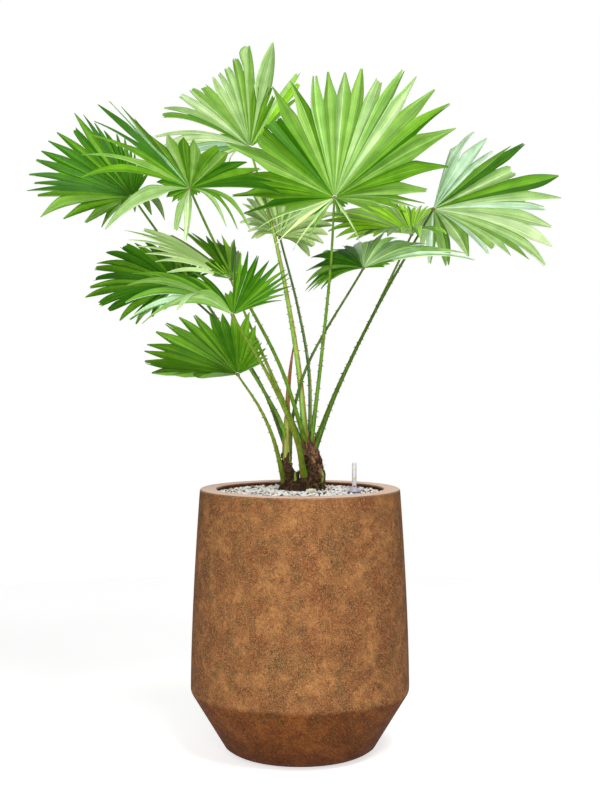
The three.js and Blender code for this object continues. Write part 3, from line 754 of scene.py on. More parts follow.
def read_line(lines, shares):
    """Points at shares from 0 to 1 along each line: lines (n, steps, 3), shares (n, m)."""
    at = np.clip(shares, 0, 1) * (lines.shape[1] - 1)
    low = np.minimum(at.astype(int), lines.shape[1] - 2)
    rows = np.arange(len(lines))[:, None]
    part = (at - low)[..., None]
    return lines[rows, low] * (1 - part) + lines[rows, low + 1] * part


def split_shares(leaf, rng):
    """How far out each border between two leaflets stays joined."""
    borders = np.linspace(0, 1, len(leaf["tones"]) + 1)
    shares = station(leaf["split"], borders) + rng.normal(0, SPLIT_SPREAD, len(borders))
    for number, letter in enumerate(leaf["tones"]):
        if letter == ".":
            shares[number:number + 2] = 0
    for number, share in leaf["cuts"].items():
        if share < SHORT_CUT:
            shares[number:number + 2] = share
    return np.clip(shares, FREE_FROM + 0.02, SPLIT_MOST)


def fold_at(shares):
    """How steep the pleats are: the height of a leaflet's fold against its half width."""
    return np.interp(shares, FOLD_SHARES, FOLDS)


def joined_part(leaf):
    """The pleated part round the hub, as a grid of columns by rows."""
    count = len(leaf["tones"])
    pitch = (leaf["span"][1] - leaf["span"][0]) / count
    places = (np.arange(count)[:, None] + (COLUMNS[None, :-1] + 1) / 2).ravel()
    places = np.append(places, count)
    lines, reach = ribs(leaf, leaf["span"][0] + places * pitch)
    inner = HUB_RADIUS / reach
    rows = np.linspace(0, 1, JOINED_ROWS)
    shares = inner[:, None] + (FREE_FROM - inner)[:, None] * rows[None, :]
    grid = read_line(lines, shares)
    normals = unit(np.cross(np.gradient(grid, axis=0), np.gradient(grid, axis=1)))
    widths = np.linalg.norm(np.diff(grid[::STRIPS], axis=0), axis=2) / 2
    half = np.vstack([np.repeat(widths, STRIPS, axis=0), widths[-1:]])
    half[STRIPS:-1:STRIPS] = (widths[1:] + widths[:-1]) / 2
    heights = np.append(np.tile(np.abs(COLUMNS[:-1]), count), 1) ** 1.15 - 0.5
    grid += normals * (heights[:, None] * half * fold_at(FREE_FROM * rows)[None, :])[..., None]
    uvs = [np.repeat(places[:, None], JOINED_ROWS, 1), shares * reach[:, None] / VEIN_STEP]
    return grid, np.stack(uvs, axis=2), pitch


def free_parts(leaf, grid, pitch, splits, rng):
    """The outer halves of the leaflets: (leaflet, row, column, xyz), joined up to their splits."""
    count = len(leaf["tones"])
    lines, reach = ribs(leaf, leaf["span"][0] + (np.arange(count) + 0.5) * pitch)
    ends = rng.choice(ENDS, count, p=leaf["ends"])
    short = np.array([letter.isupper() for letter in leaf["tones"]])
    torn = np.array([letter == "." for letter in leaf["tones"]])[:, None]
    ends = np.where(short, "blunt", ends)
    cut = np.where(ends == "blunt", rng.uniform(0.84, 0.95, count), 1) * rng.uniform(0.96, 1, count)
    cut = np.where(short, cut - 0.2, cut)
    for number, share in leaf["cuts"].items():
        cut[number] = share
    cut = cut[:, None]
    rows = np.linspace(0, 1, FREE_ROWS + 1)
    late_rows = np.where(cut < SHORT_CUT, rows, np.clip(2 * rows - 1, 0, 1))
    along = np.where(torn, TORN_SHARE * rows, rows - (1 - cut) * late_rows)
    shares = FREE_FROM + (1 - FREE_FROM) * along
    centre = read_line(lines, shares)
    tangent = unit(np.gradient(centre, axis=1))
    first = np.stack([grid[i * STRIPS:(i + 1) * STRIPS + 1, -1] for i in range(count)])
    offset = first - centre[:, :1]
    side = offset[:, -1] - offset[:, 0]
    side = unit(side - tangent[:, 0] * (side * tangent[:, 0]).sum(1, keepdims=True))
    start_along, start_side, start_normal = (
        (offset * axis[:, None]).sum(2) for axis in (tangent[:, 0], side, np.cross(side, tangent[:, 0]))
    )
    half = (start_side[:, -1] - start_side[:, 0]) / 2

    taper = rng.uniform(*leaf["taper"], count)[:, None]
    tip = np.where(ends == "forked", rng.uniform(0.14, 0.26, count), 0.03)[:, None]
    fork = np.where(ends == "forked", rng.uniform(0.85, 0.95, count), 2)
    twist = np.radians(rng.normal(0, leaf["twist"], count))
    bend, kink = (rng.normal(0, most, count) * reach * LOOSE_SHARE for most in (0.035, leaf["kink"]))
    places = (np.arange(count) + 0.5) / count
    narrow = station(leaf["width"], places) * rng.uniform(0.86, 1.04, count)
    for number, factor in leaf["wide"].items():
        narrow[number] *= factor
        taper[number] *= factor ** 0.7
    steep = fold_at(shares) / fold_at(FREE_FROM) * (1 + 0.8 * np.clip(1 - narrow, 0, 1)[:, None])

    def widths(split):
        past = np.clip((shares - split[:, None]) / (1 - split[:, None]), 0, 1)
        joined = np.minimum(shares, split[:, None]) / FREE_FROM
        narrowed = 1 - (1 - narrow[:, None]) * np.clip((shares - split[:, None]) / NARROW_WITHIN, 0, 1)
        worn = np.where(torn, 1 - 0.9 * rows[None, :], 1)
        return joined * narrowed * worn * (1 - (1 - tip) * past ** taper), past

    width, past = (
        np.where(COLUMNS < 0, on_left[:, 1:, None], on_right[:, 1:, None])
        for on_left, on_right in zip(widths(splits[:-1]), widths(splits[1:]))
    )
    gap = np.clip((rows[1:] - fork[:, None]) / (1.001 - np.minimum(fork, 1))[:, None], 0, 1) * tip
    direction = tangent[:, 1:]
    side = side[:, None]
    turned = unit(side - direction * (side * direction).sum(2, keepdims=True))
    lifted = np.cross(turned, direction)
    late = np.clip((shares[:, 1:] - LOOSE_FROM) / (1 - LOOSE_FROM), 0, 1)[..., None]
    angle = twist[:, None, None] * late
    across = turned * np.cos(angle) + lifted * np.sin(angle)
    upward = lifted * np.cos(angle) - turned * np.sin(angle)
    lateral = start_side[:, None] * width
    lateral += np.sign(COLUMNS) * (1 - np.abs(COLUMNS)) * gap[..., None] * half[:, None, None]
    height = start_normal[:, None] * width * steep[:, 1:, None]
    shift = start_along[:, None] * width * (1 - past) ** 2
    shift[:, -1] += (ends == "blunt")[:, None] * rng.normal(0, 2.4, (count, len(COLUMNS)))
    drift = turned * bend[:, None, None] * late ** 2 + lifted * kink[:, None, None] * late ** 2
    result = (centre[:, 1:] + drift)[:, :, None]
    for axis, distance in ((across, lateral), (upward, height), (direction, shift)):
        result = result + axis[:, :, None] * distance[..., None]
    return result, fork, rows[1:], shares[:, 1:], reach


def strip_tones(leaf, letters, rng):
    """The green of each strip of each leaflet, as numbers of LEAF_GREENS."""
    rows = []
    for tone in (letters * (len(leaf["tones"]) // len(letters))).replace(".", "m").lower():
        # Painted shade and light of the pleats: some leaflets get one half a shade darker and a few get
        # one half a shade lighter, mostly the right half
        chance = rng.random()
        darker, lighter = chance < leaf["pleat_shading"], chance > 1 - 0.3 * leaf["pleat_shading"]
        left, right = tone, DARKER[tone] if darker else LIGHTER[tone] if lighter else tone
        if rng.random() < 0.3:
            left, right = right, left
        ridge = LIGHTER[left] if rng.random() < 0.5 else DARKER[right]
        row = ridge + left * SIDE_STRIPS + LIGHTER[tone] + right * SIDE_STRIPS + DARKER[right]
        rows.append([TONES.index(letter) for letter in row])
    return rows


def blade(name, leaf, rng):
    """One leaf's blade as a thin closed mesh, its leaflets pleated, split and tapered."""
    count = len(leaf["tones"])
    splits = split_shares(leaf, rng)
    grid, grid_uvs, pitch = joined_part(leaf)
    free, fork, rows, shares, reach = free_parts(leaf, grid, pitch, splits, rng)
    ids = len(grid) * JOINED_ROWS + np.arange(free.size // 3).reshape(free.shape[:3])
    still_joined = FREE_FROM + (1 - FREE_FROM) * rows
    for border in range(1, count):
        for row in np.flatnonzero(still_joined <= splits[border]):
            middle = (free[border - 1, row, -1] + free[border, row, 0]) / 2
            free[border - 1, row, -1] = free[border, row, 0] = middle
            ids[border, row, 0] = ids[border - 1, row, -1]
    places = np.arange(count)[:, None, None] + ((COLUMNS + 1) / 2)[None, None, :]
    far = (shares * reach[:, None] / VEIN_STEP)[:, :, None]
    free_uvs = np.stack(np.broadcast_arrays(places, far), axis=3)
    points = np.concatenate([grid.reshape(-1, 3), free.reshape(-1, 3)])
    points[:, 2] = np.minimum(points[:, 2], CROWN_TOP)
    uvs = np.concatenate([grid_uvs.reshape(-1, 2), free_uvs.reshape(-1, 2)])

    upper = strip_tones(leaf, leaf["tones"], rng)
    under = strip_tones(leaf, leaf.get("under", leaf["tones"]), rng)
    inner = strip_tones(leaf, leaf["inner"], rng) if "inner" in leaf else None
    faces, slots, lower = [], [], []
    for column in range(len(grid) - 1):
        leaflet, strip = divmod(column, STRIPS)
        for a in range(column * JOINED_ROWS, (column + 1) * JOINED_ROWS - 1):
            faces.append((a, a + JOINED_ROWS, a + JOINED_ROWS + 1, a + 1))
            slots.append((inner or upper)[leaflet][strip])
            lower.append((inner or under)[leaflet][strip])
    starts = (np.arange(count)[:, None] * STRIPS + np.arange(STRIPS + 1) + 1) * JOINED_ROWS - 1
    ids = np.concatenate([starts[:, None], ids], axis=1)
    for leaflet, strip, row in itertools.product(range(count), range(STRIPS), range(FREE_ROWS)):
        if strip == MIDRIB_STRIP and rows[row] > fork[leaflet]:
            continue
        (a, b), (d, c) = ids[leaflet, row:row + 2, strip:strip + 2].tolist()
        faces.append((a, b, c, d))
        slots.append(upper[leaflet][strip])
        lower.append(under[leaflet][strip])
    builder = Builder().add(*thicken(points, faces, slots, lower, uvs, BLADE_THICKNESS))
    builder.make(f"blade_{name}", LEAF_GREENS, "blade", [f"frond_{name}"])


# The stalks

def thorn(builder, root, outward, along, size, slot):
    """A short spine, hooked back towards the stalk's base."""
    third = np.cross(outward, along)
    ring = [along * 1.3, third * 0.7, -along * 1.3, -third * 0.7]
    middle = root + outward * size * 0.55 - along * size * 0.12
    tip = root + outward * size - along * size * 0.55
    points = [root + corner - outward for corner in ring]
    points += [*[middle + 0.5 * corner for corner in ring], tip]
    faces = [(j, j + 4, (j + 1) % 4 + 4, (j + 1) % 4) for j in range(4)]
    faces += [*[(j + 4, 8, (j + 1) % 4 + 4) for j in range(4)], (0, 1, 2, 3)]
    builder.add(points, [face[::-1] for face in faces], slot)


def stalk(name, leaf, rng):
    """One leaf stalk: its flanks may have a green of their own, and thorns stand on them."""
    end = np.array(leaf["hub"], float) - blade_axes(leaf)[2] * 1.5
    path = smooth_path([*leaf["path"], end], STALK_STEPS)
    share = np.linspace(0, 1, len(path))
    radii = STALK_TIP_RADIUS + (leaf["radius"] - STALK_TIP_RADIUS) * (1 - share) ** STALK_TAPER
    radii = radii * (1 + 0.35 * np.exp(-share / 0.05))
    def channelled(angles, i):
        return 1 + 0.08 * np.cos(2 * angles)
    points, faces = tube(path, radii, STALK_SIDES, squeeze=channelled)
    tones = [STALK_GREENS[tone] for tone in leaf["stalk"].split()]
    flanks = [len(tones) - 1 if j % STALK_SIDES in FLANK_FACES else 0 for j in range(len(faces))]
    builder = Builder().add(points, faces, flanks)
    tangents, across, third = carried_frames(path)
    length = np.linalg.norm(np.diff(path, axis=0), axis=1).sum()
    at = 0.06
    flank = 1
    while at < THORNS_END:
        i = int(at * (len(path) - 1))
        angle = rng.normal(0, 0.5)
        outward = flank * across[i] * math.cos(angle) + third[i] * math.sin(angle)
        root = path[i] + outward * radii[i] * 0.9
        size = rng.uniform(*THORN_SIZES) * (1.15 - 0.6 * at)
        thorn(builder, root, outward, tangents[i], size, len(tones))
        at += rng.uniform(6, 15) / length
        flank = -flank
    builder.make(f"stalk_{name}", [*tones, SHEATHS[1]], "stalk", [f"stalk_{name}"])


def hub_caps():
    """The small hastula where each stalk meets its blade, on both faces of the blade."""
    builder = Builder()
    for leaf in LEAVES.values():
        forward, _, normal = blade_axes(leaf)
        heights, radii = np.transpose(HUB_CAP)
        path = np.array(leaf["hub"], float) + normal * heights[:, None]
        builder.add(*tube(path, radii, 14, forward))
    dark = earthy("hastula", (74, 66, 30), (150, 150, 84), 300, 0.7)
    builder.make("hastulas", [dark], "stalk")


# The stems, their fibres and the matted root mound

def stem(name):
    """A stem's core, with the relief of its bark."""
    def swell(points):
        return 1.6 * rough(points, 0.16, 3, 0.45) + 0.8 * rough(points, 0.6, 9, 0.3)
    core = swollen_tube(*tapered_path(STEMS[name], STEM_STEPS), STEM_SIDES, swell)
    Builder().add(*core).make(f"{name}_bark", [BARK], "bark", [name])


def wrap(path, radii, angle, share, lift):
    """A point on a stem at an angle round it and a share of its height, lift off its surface."""
    at = np.clip(share, 0, 1) * (len(path) - 1)
    places = np.arange(len(path))
    centre = np.stack([np.interp(at, places, path[:, k]) for k in range(3)], axis=-1)
    radius = np.interp(at, places, radii) + lift
    around = np.stack([np.cos(angle), np.sin(angle), np.zeros_like(angle)], axis=-1)
    return centre + around * radius[..., None]


def fibres(rng):
    """Loose fibres that cross each other round both stems, and the strands of the root mound."""
    builder = Builder()
    steps = np.linspace(0, 1, 7)
    for name, amount, top in STEM_FIBRES:
        path, radii = tapered_path(STEMS[name], STEM_STEPS)
        for _ in range(amount):
            angle = rng.uniform(0, FULL_TURN) + steps * rng.normal(0, 0.9)
            share = rng.uniform(-0.02, top) + steps * rng.uniform(0.06, 0.24) * rng.choice([1, 1, -1])
            lift = rng.uniform(0.3, 4.2) + 0.8 * np.sin(steps * math.pi)
            line = wrap(path, radii, angle, share, lift)
            thick = np.full(7, rng.uniform(0.35, 0.85))
            slot = pick(rng, 0.5, 0.32, 0.18)
            builder.add(*tube(line, thick, 3), slot)
    for _ in range(MOUND_STRANDS):
        angle = rng.uniform(0, FULL_TURN) + steps * rng.normal(0, 0.5)
        out = np.clip(rng.uniform(0.15, 0.95) + steps * rng.uniform(-0.4, 0.5), 0, 1.05)
        high = np.sqrt(np.clip(1 - out ** 2, 0, 1))
        dome = np.stack([out * np.cos(angle), out * np.sin(angle), high], axis=1)
        line = MOUND_CENTRE + dome * MOUND_SIZE
        line += rng.normal(0, 0.7, 3) + (0, 0, 0.5)
        line[:, 2] = np.maximum(line[:, 2], LEVEL - 1)
        thick = np.full(7, rng.uniform(0.45, 1.15))
        builder.add(*tube(line, thick, 4), pick(rng, 0.66, 0.28, 0.06))
    steps = np.linspace(0, 1, 6)[:, None]
    for _ in range(LOOSE_THREADS):
        root = np.array([rng.uniform(34, 42), rng.uniform(34, 52), rng.uniform(556, 584)])
        reach = np.array([rng.uniform(4, 13), rng.normal(0, 5), rng.uniform(-4, 14)])
        line = root + reach * steps + np.array([0, 0, 3]) * np.sin(steps * math.pi)
        builder.add(*tube(line, np.linspace(0.5, 0.15, 6), 3), int(rng.integers(3)))
    builder.make("fibres", FIBRES, "bark")


def root_mound():
    """The low dome of matted roots that both stems stand on."""
    rows, sides = 14, 64
    turn = turns(sides)
    flat = np.stack([np.cos(turn), np.sin(turn)], axis=1)
    rings = [
        np.column_stack([math.cos(angle) * flat, np.full(sides, math.sin(angle))])
        for angle in np.arange(rows) / rows * math.pi / 2
    ]
    points = np.concatenate([*rings, [(0, 0, 1)]]) * MOUND_SIZE * 0.97 + MOUND_CENTRE
    raise_by = 2.4 * rough(points, 0.14, 5) + 1.2 * rough(points, 0.4, 8)
    raise_by[:sides] = 0
    points = points + unit(points - (MOUND_CENTRE - (0, 0, 8))) * raise_by[:, None]
    last = (rows - 1) * sides
    faces = ring_faces(rows, sides)
    faces += [(last + j, last + (j + 1) % sides, len(points) - 1) for j in range(sides)]
    faces.append(tuple(range(sides))[::-1])
    Builder().add(points, faces).make("root_mound_mat", [BARK], "bark", ["root_mound"])


def roots(rng):
    """Stout roots that leave both stems low down, and those that drop over the mound's shoulder."""
    builder = Builder()
    steps = np.linspace(0, 1, 7)
    for name, amount in STEM_ROOTS:
        path, radii = tapered_path(STEMS[name], STEM_STEPS)
        for _ in range(amount):
            angle = rng.uniform(0, FULL_TURN) + steps * rng.normal(0, 0.2)
            share = rng.uniform(0.12, 0.5) * (1 - steps)
            line = wrap(path, radii, angle, share, 0.6 + rng.uniform(1, 5) * steps ** 1.6)
            line[-1, 2] = LEVEL - 2
            thick = rng.uniform(0.9, 1.9) * (1 - 0.35 * steps)
            builder.add(*tube(line, thick, 6), pick(rng, 0.8, 0.17, 0.03))
    for _ in range(MOUND_ROOTS):
        turn = rng.uniform(0, FULL_TURN)
        toward = np.array([math.cos(turn), math.sin(turn)])
        foot = MOUND_CENTRE[:2] + MOUND_SIZE[:2] * rng.uniform(0.72, 0.98) * toward
        top = LEVEL + rng.uniform(8, 26)
        down = steps[:, None]
        flat = foot + rng.normal(0, 2.5, 2) * down + toward * 2 * down - 5 * toward * (1 - down) ** 2
        line = np.column_stack([flat, top + (LEVEL - 2 - top) * steps])
        thick = rng.uniform(0.9, 2.1) * (1 - 0.3 * steps)
        builder.add(*tube(line, thick, 6), pick(rng, 0.82, 0.15, 0.03))
    builder.make("roots", FIBRES, "bark")


def husks(rng):
    """The torn dark base of the front stalk, the rotted stump between the stems, and a shoot."""
    builder = Builder()
    sides = 26
    def swell(points):
        return 1.8 * rough(points, 0.5, 4, 0.25)
    for husk in HUSKS:
        points, faces = swollen_tube(*tapered_path(husk, 16), sides, swell)
        points[-sides:, 2] += rng.uniform(-5, 3, sides)
        builder.add(points, faces)
    builder.make("husks", [BARK], "bark")
    shoot = tube(*tapered_path(SHOOT, 8), 10)
    Builder().add(*shoot).make("stub_small", [SHEATHS[2]], "stub")


def spear_sheath():
    """The pale green sheath that wraps the foot of the rolled young leaf."""
    steps = sides = 30
    def ridged(angles, i):
        return 1 + 0.07 * np.cos(3 * angles + 1) + 0.03 * np.cos(11 * angles)
    points, faces = tube(*tapered_path(SPEAR_SHEATH, steps), sides, squeeze=ridged)
    points[:sides, 2] += 7 * np.cos(5 * turns(sides))
    pale = earthy("sheath_pale", (118, 92, 52), (158, 190, 72), 75, 0.55, (3, 3, 0.25), 0.0006)
    Builder().add(points, faces).make("spear_sheath", [pale], "bark")


def scale_leaf(builder, stem_name, angle, low, high, spread, slot, rng):
    """One dry leaf base that clasps the stem: a curved plate that narrows to a frayed tip."""
    path, radii = tapered_path(STEMS[stem_name], STEM_STEPS)
    rows, columns = 9, 7
    along = np.linspace(0, 1, rows)[:, None]
    across = np.linspace(-1, 1, columns)[None, :]
    ragged = 1 + rng.normal(0, 0.26, (rows, columns))
    slant = rng.normal(0, 0.4) * along
    angles = angle + slant + across * spread * (1 - along ** 1.7 * 0.9) * ragged
    shares = low + (high - low) * along + 0 * across
    lift = 2.6 + 2.4 * along ** 2 + 0.5 * across ** 2 + rng.normal(0, 0.3, (rows, columns))
    points = wrap(path, radii, angles, shares, lift).reshape(-1, 3)
    points[:, 2] += np.clip(shares - 1, 0, None).ravel() * (path[-1, 2] - path[0, 2])
    faces = sheet_faces(rows, columns)
    slots = [slot] * len(faces)
    builder.add(*thicken(points, faces, slots, slots, np.zeros((len(points), 2)), 0.9))


def sheaths(rng):
    """Small torn plates of old leaf bases, mostly on the upper half of the main stem."""
    builder = Builder()
    for i in range(44):
        low = 0.3 + 0.014 * i + rng.normal(0, 0.03)
        scale_leaf(
            builder, "stem_main", i * 2.4 + rng.normal(0, 0.3), low, low + rng.uniform(0.08, 0.22),
            rng.uniform(0.16, 0.42), pick(rng, 0.22, 0.6, 0.04, 0.14), rng,
        )
    for i in range(14):
        scale_leaf(
            builder, "stem_main", -0.3 - i * 0.26 + rng.normal(0, 0.1), rng.uniform(0.6, 0.78),
            rng.uniform(0.92, 1.26), rng.uniform(0.18, 0.36), pick(rng, 0.5, 0.3, 0, 0.2), rng,
        )
    for i in range(10):
        low = 0.46 + 0.04 * i
        scale_leaf(
            builder, "stem_left", i * 2.4 + 0.8, low, low + rng.uniform(0.12, 0.26),
            rng.uniform(0.25, 0.5), pick(rng, 0.2, 0.7, 0, 0.1), rng,
        )
    builder.make("sheaths", SHEATHS, "bark")


def spear():
    """The rolled young leaf: a thin spindle with pleats that run its whole length."""
    steps = 40
    def pleated(angles, i):
        return 1 + 0.13 * np.cos(6 * angles + 3 * i / (steps - 1))
    rolled = tube(*tapered_path(SPEAR, steps), 24, squeeze=pleated)
    made = Shader("spear_brown", 0.55, Specular_IOR_Level=0.2)
    streak = made.noise(made.place((330, 330, 14)), 1, 3)
    low = made.mix(made.between(streak, 0.42, 0.6), (112, 118, 40), (148, 92, 56))
    high = made.mix(made.between(streak, 0.4, 0.65), (108, 62, 36), (170, 112, 72))
    rise = made.between(made.height(made.place()), 0.69, 0.77)
    made.set("Base Color", made.mix(rise, low, high))
    made.bump(streak, 0.0005, 0.5)
    Builder().add(*rolled).make("spear", [made.material], "spear", ["spear_leaf"])


def stubs():
    """The two cut ends of old stalks: a hooked green one and a pale one that lies down."""
    green = earthy("stub_green", (88, 128, 34), (168, 190, 84), 70, 0.55)
    pale = earthy("stub_pale", (206, 214, 170), (240, 240, 222), 200, 0.7)
    radii = 3 + 1.1 * np.sin(np.linspace(0, math.pi, 18))
    hooked = tube(smooth_path(HOOKED_STUB, 18), radii, 12)
    Builder().add(*hooked).make("stub_hooked", [green], "stub", ["cut_stub_green"])
    radii = 3.3 + 0.6 * np.sin(1.9 * np.arange(12))
    lying = tube(smooth_path(LYING_STUB, 12), radii, 12)
    Builder().add(*lying).make("stub_lying", [pale], "stub", ["cut_stub_pale"])


# The pot, the granules and the gauge

def body_radius(height):
    share = max(height - POT_EDGE_HEIGHT, 0) / (POT_HEIGHT - POT_EDGE_HEIGHT)
    return POT_WIDEST_RADIUS - (POT_WIDEST_RADIUS - POT_RIM_RADIUS) * share ** BODY_BOW


def arc(radius, height, round_radius, start, end, steps):
    angles = np.radians(np.linspace(start, end, steps + 1))
    return [(radius + round_radius * math.cos(a), height + round_radius * math.sin(a)) for a in angles]


def lathe(profile, sides):
    """A turned solid. The profile runs from the axis at the bottom to the axis at the top."""
    points = [(0, 0, profile[0][1])]
    for radius, height in profile[1:-1]:
        points += [(radius * math.cos(a), radius * math.sin(a), height) for a in turns(sides)]
    last = len(points) - sides
    points.append((0, 0, profile[-1][1]))
    faces = [(0, 1 + (j + 1) % sides, 1 + j) for j in range(sides)]
    faces += ring_faces(len(profile) - 2, sides, 1)
    faces += [(last + j, last + (j + 1) % sides, len(points) - 1) for j in range(sides)]
    return np.array(points), faces


def pot():
    """The pot's shell, from the foot's fillet over the rounded edge and the rim to its floor."""
    fillet = arc(POT_FOOT_RADIUS, POT_FOOT_FILLET, POT_FOOT_FILLET, -90, -POT_FILLET_END, 12)
    start = np.array(fillet[-1])
    edge = np.array((POT_WIDEST_RADIUS, POT_EDGE_HEIGHT))
    above = np.array((body_radius(POT_EDGE_HEIGHT + POT_EDGE_ROUND), POT_EDGE_HEIGHT + POT_EDGE_ROUND))
    below = edge + unit(start - edge) * POT_EDGE_ROUND
    slope = [start + (below - start) * share for share in (0.33, 0.66)]
    part = np.linspace(0, 1, 7)[:, None]
    rounded = below * (1 - part) ** 2 + 2 * edge * part * (1 - part) + above * part ** 2
    top = POT_HEIGHT - POT_RIM_ROUND
    heights = np.linspace(above[1], top, 22)
    outer_round = arc(POT_RIM_RADIUS - POT_RIM_ROUND, top, POT_RIM_ROUND, 0, 90, 6)[1:]
    inner_round = arc(POT_RIM_RADIUS - POT_WALL + POT_RIM_ROUND, top, POT_RIM_ROUND, 90, 180, 6)
    profile = [
        (0, 0), *fillet, *slope, *rounded, *[(body_radius(h), h) for h in heights[1:]],
        *outer_round, *inner_round, *[(body_radius(h) - POT_WALL, h) for h in heights[-2::-3]],
        (POT_FOOT_RADIUS, POT_FLOOR), (0, POT_FLOOR),
    ]
    points, faces = lathe(profile, POT_SIDES)
    on_rim = [int(points[list(face), 2].min() >= top - 0.01) for face in faces]
    finishes = [pot_finish("pot_composite", 0.85, 0.12), pot_finish("pot_rim", 0.5, 0.7)]
    Builder().add(points, faces, on_rim).make("pot_shell", finishes, "pot", ["pot"], SOFT_CREASE)


def granules(rng):
    """Small mixed stones in two layers, level to just under the pot's rim."""
    golden = (1 + 5 ** 0.5) / 2
    corners = unit(np.array([
        corner for a in (-1, 1) for b in (-golden, golden)
        for corner in ((0, a, b), (a, b, 0), (b, 0, a))
    ]))
    faces = [
        (i, j, k) if np.linalg.det(corners[[i, j, k]]) > 0 else (i, k, j)
        for i, j, k in itertools.combinations(range(len(corners)), 3)
        if max(np.linalg.norm(corners[a] - corners[b]) for a, b in ((i, j), (j, k), (i, k))) < 1.1
    ]
    builder = Builder()
    inner = body_radius(LEVEL) - POT_WALL
    step = GRANULE_SPACING
    reach = int(inner / step) + 2
    places = itertools.product(range(2), range(-reach * 2, reach * 2), range(-reach, reach + 1))
    for layer, row, column in places:
        x = (column + 0.5 * (row % 2) + 0.33 * layer) * step + rng.normal(0, 0.9)
        y = row * step * 0.866 + 0.4 * layer * step + rng.normal(0, 0.9)
        past_wall = math.hypot(x, y) > inner - 2.6
        on_mound = math.hypot(*((x, y) - MOUND_CENTRE[:2]) / (MOUND_SIZE[:2] - 2)) < 1
        at_gauge = math.hypot(x - GAUGE["x"], y - GAUGE["y"]) < GAUGE["foot"] - 3
        if past_wall or on_mound or at_gauge:
            continue
        size = rng.uniform(*GRANULE_SIZES) * rng.uniform(0.8, 1.25, 3)
        shape = corners * size * rng.uniform(0.8, 1.15, (len(corners), 1))
        turn = np.linalg.qr(rng.normal(size=(3, 3)))[0]
        if np.linalg.det(turn) < 0:
            turn[:, 0] = -turn[:, 0]
        z = LEVEL - GRANULE_DEPTHS[layer] + rng.normal(0, 0.7)
        builder.add(shape @ turn.T + (x, y, z), faces, pick(rng, *GRANULE_SHARES))
    builder.make("granules", GRANULES, "granules", crisp=STONE_CREASE)


def bed():
    """The filling under the granules, dark as painted shade where it shows between them."""
    floor, wall = POT_FLOOR + 0.4, POT_WALL + 0.4
    side = [(body_radius(h) - wall, h) for h in np.linspace(POT_EDGE_HEIGHT, BED_LEVEL, 8)]
    profile = [(0, floor), (POT_FOOT_RADIUS - 1, floor), *side, (0, BED_LEVEL)]
    gap_shade = earthy("bed_shadow", (70, 62, 56), (128, 118, 108), 300)
    Builder().add(*lathe(profile, BED_SIDES)).make("granule_bed", [gap_shade], "granules", ["substrate"])


def gauge():
    """The water gauge: a flange, a dome and a pipe, with three marks on the pipe's front."""
    place = np.array((GAUGE["x"], GAUGE["y"], 0))
    foot, top, radius, high = (GAUGE[key] for key in ("foot", "foot_top", "tube", "tube_top"))
    base = LEVEL + 0.4
    flange = [(0, base), (foot, base), (foot, base + 2.2), (foot - 1.5, base + 3.4), (0, base + 3.6)]
    dome = [(0, base + 3), (foot * 0.72, base + 3)]
    for a in np.radians(np.linspace(8, 74, 8)):
        dome.append((foot * 0.7 * math.cos(a) + 0.2, base + 3.4 + (top - base - 3.4) * math.sin(a)))
    dome.append((0, top))
    pipe = [(0, top - 2), (radius, top - 2), (radius, high - 1), (radius - 0.8, high), (0, high)]
    for name, profile, finish, slot, nodes in (
        ("flange", flange, ("gauge_violet", (92, 90, 118)), "gauge_foot", ["gauge_foot"]),
        ("dome", dome, ("gauge_lavender", (186, 184, 202)), "gauge_foot", ()),
        ("pipe", pipe, ("gauge_grey", (206, 206, 210), 0.25), "gauge_tube", ["gauge_tube"]),
    ):
        points, faces = lathe(profile, GAUGE_SIDES)
        Builder().add(points + place, faces).make(f"gauge_{name}", [plastic(*finish)], slot, nodes)

    faces = sheet_faces(2, 7)
    slots = [0] * len(faces)
    wide = np.radians(np.linspace(-90 - MARK_REACH, -90 + MARK_REACH, 7))
    ring = [(place[0] + (radius + 0.25) * math.cos(a), place[1] + (radius + 0.25) * math.sin(a))
            for a in wide]
    for name, height, colour in GAUGE_MARKS:
        reach = 1.6 - 1.1 * np.abs(wide + math.pi / 2)
        sheet = [(*xy, height + side * up) for side in (-1, 1) for xy, up in zip(ring, reach)]
        mark = Builder().add(*thicken(sheet, faces, slots, slots, np.zeros((len(sheet), 2)), 0.4))
        mark.make(f"gauge_mark_{name}", [plastic(f"gauge_{name}_mark", colour)], "gauge_tube")


# The studio

def stand(name, data, place=(0, 0, 0)):
    """Puts a camera, a lamp or a mesh in the scene as an object, at a place in metres."""
    made = bpy.data.objects.new(name, data)
    made.location = place
    bpy.context.scene.collection.objects.link(made)
    return made


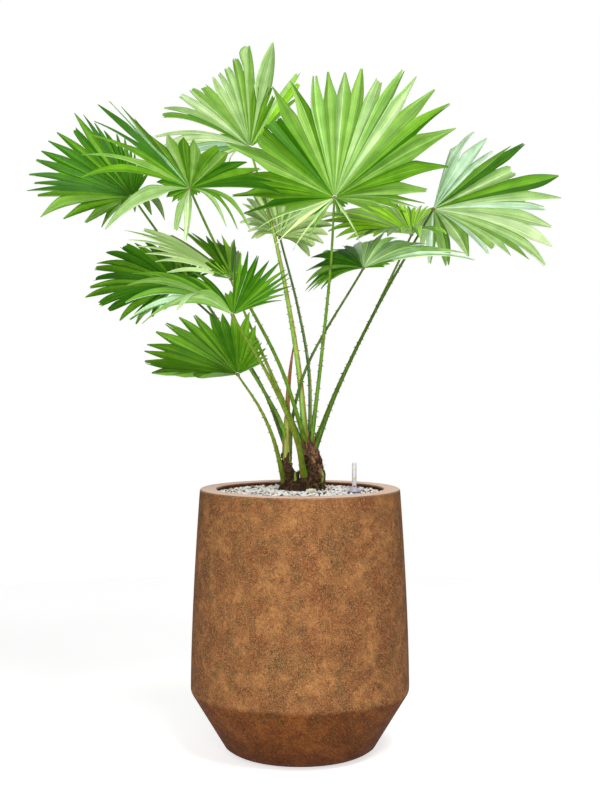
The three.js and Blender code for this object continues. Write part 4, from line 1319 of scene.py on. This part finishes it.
def studio():
    scene = bpy.context.scene
    scene.view_settings.view_transform = "Standard"
    camera = bpy.data.cameras.new("camera")
    camera.sensor_width = SENSOR_WIDTH
    camera.lens = CAMERA_LENS
    scene.camera = stand("camera", camera, [value * MM for value in CAMERA_PLACE])
    scene.camera.rotation_euler = (math.radians(90 - CAMERA_PITCH), 0, 0)

    scene.world = bpy.data.worlds.new("studio")
    scene.world.use_nodes = True
    tree = scene.world.node_tree
    direction = add_node(tree, "ShaderNodeTexCoord").outputs["Generated"]
    axes = add_node(tree, "ShaderNodeSeparateXYZ", {"Vector": direction}).outputs
    sky, wall = (
        add_node(tree, "ShaderNodeMapRange", {
            "Value": axes[axis], "From Min": low, "From Max": high, "To Min": first, "To Max": last,
        }, interpolation_type=ease).outputs["Result"]
        for axis, low, high, first, last, ease in (
            ("Z", 0.3, 0.6, 1, SKY_ABOVE, "LINEAR"), ("Y", 0.7, 0.94, WALL_GLOW, 1, "SMOOTHSTEP"),
        )
    )
    both = add_node(tree, "ShaderNodeMath", {0: sky, 1: wall}, operation="MULTIPLY")
    background = tree.nodes["Background"].inputs
    feed(tree, background["Color"], (1, 1, 1, 1))
    feed(tree, background["Strength"], both.outputs["Value"])

    floor = bpy.data.meshes.new("floor")
    ring = [
        (FLOOR_RADIUS * math.cos(a), FLOOR_RADIUS * math.sin(a), FLOOR_HEIGHT)
        for a in turns(FLOOR_SIDES)
    ]
    floor.from_pydata(ring, [], [tuple(range(FLOOR_SIDES))])
    pale = Shader("floor_pale", 0.9, Base_Color=(244, 244, 244), Emission_Color=(1, 1, 1, 1),
                  Emission_Strength=FLOOR_GLOW)
    floor.materials.append(pale.material)
    ground = stand("floor", floor)

    for name, (place, target, width, power) in PANELS.items():
        light = bpy.data.lights.new(name, "AREA")
        light.shape = "DISK"
        light.size = width
        light.energy = power
        panel = stand(name, light, place)
        panel.rotation_euler = (Vector(target) - Vector(place)).to_track_quat("-Z", "Y").to_euler()


studio()
pot()
rng = np.random.default_rng(SEED)
granules(rng)
bed()
for stem_name in STEMS:
    stem(stem_name)
root_mound()
fibres(rng)
roots(rng)
husks(rng)
sheaths(rng)
spear_sheath()
spear()
stubs()
gauge()
for number, (leaf_name, entry) in enumerate(LEAVES.items()):
    leaf = {**USUAL, **entry}
    blade(leaf_name, leaf, np.random.default_rng(SEED + 10 * number))
    stalk(leaf_name, leaf, np.random.default_rng(SEED + 10 * number + 5))
hub_caps()
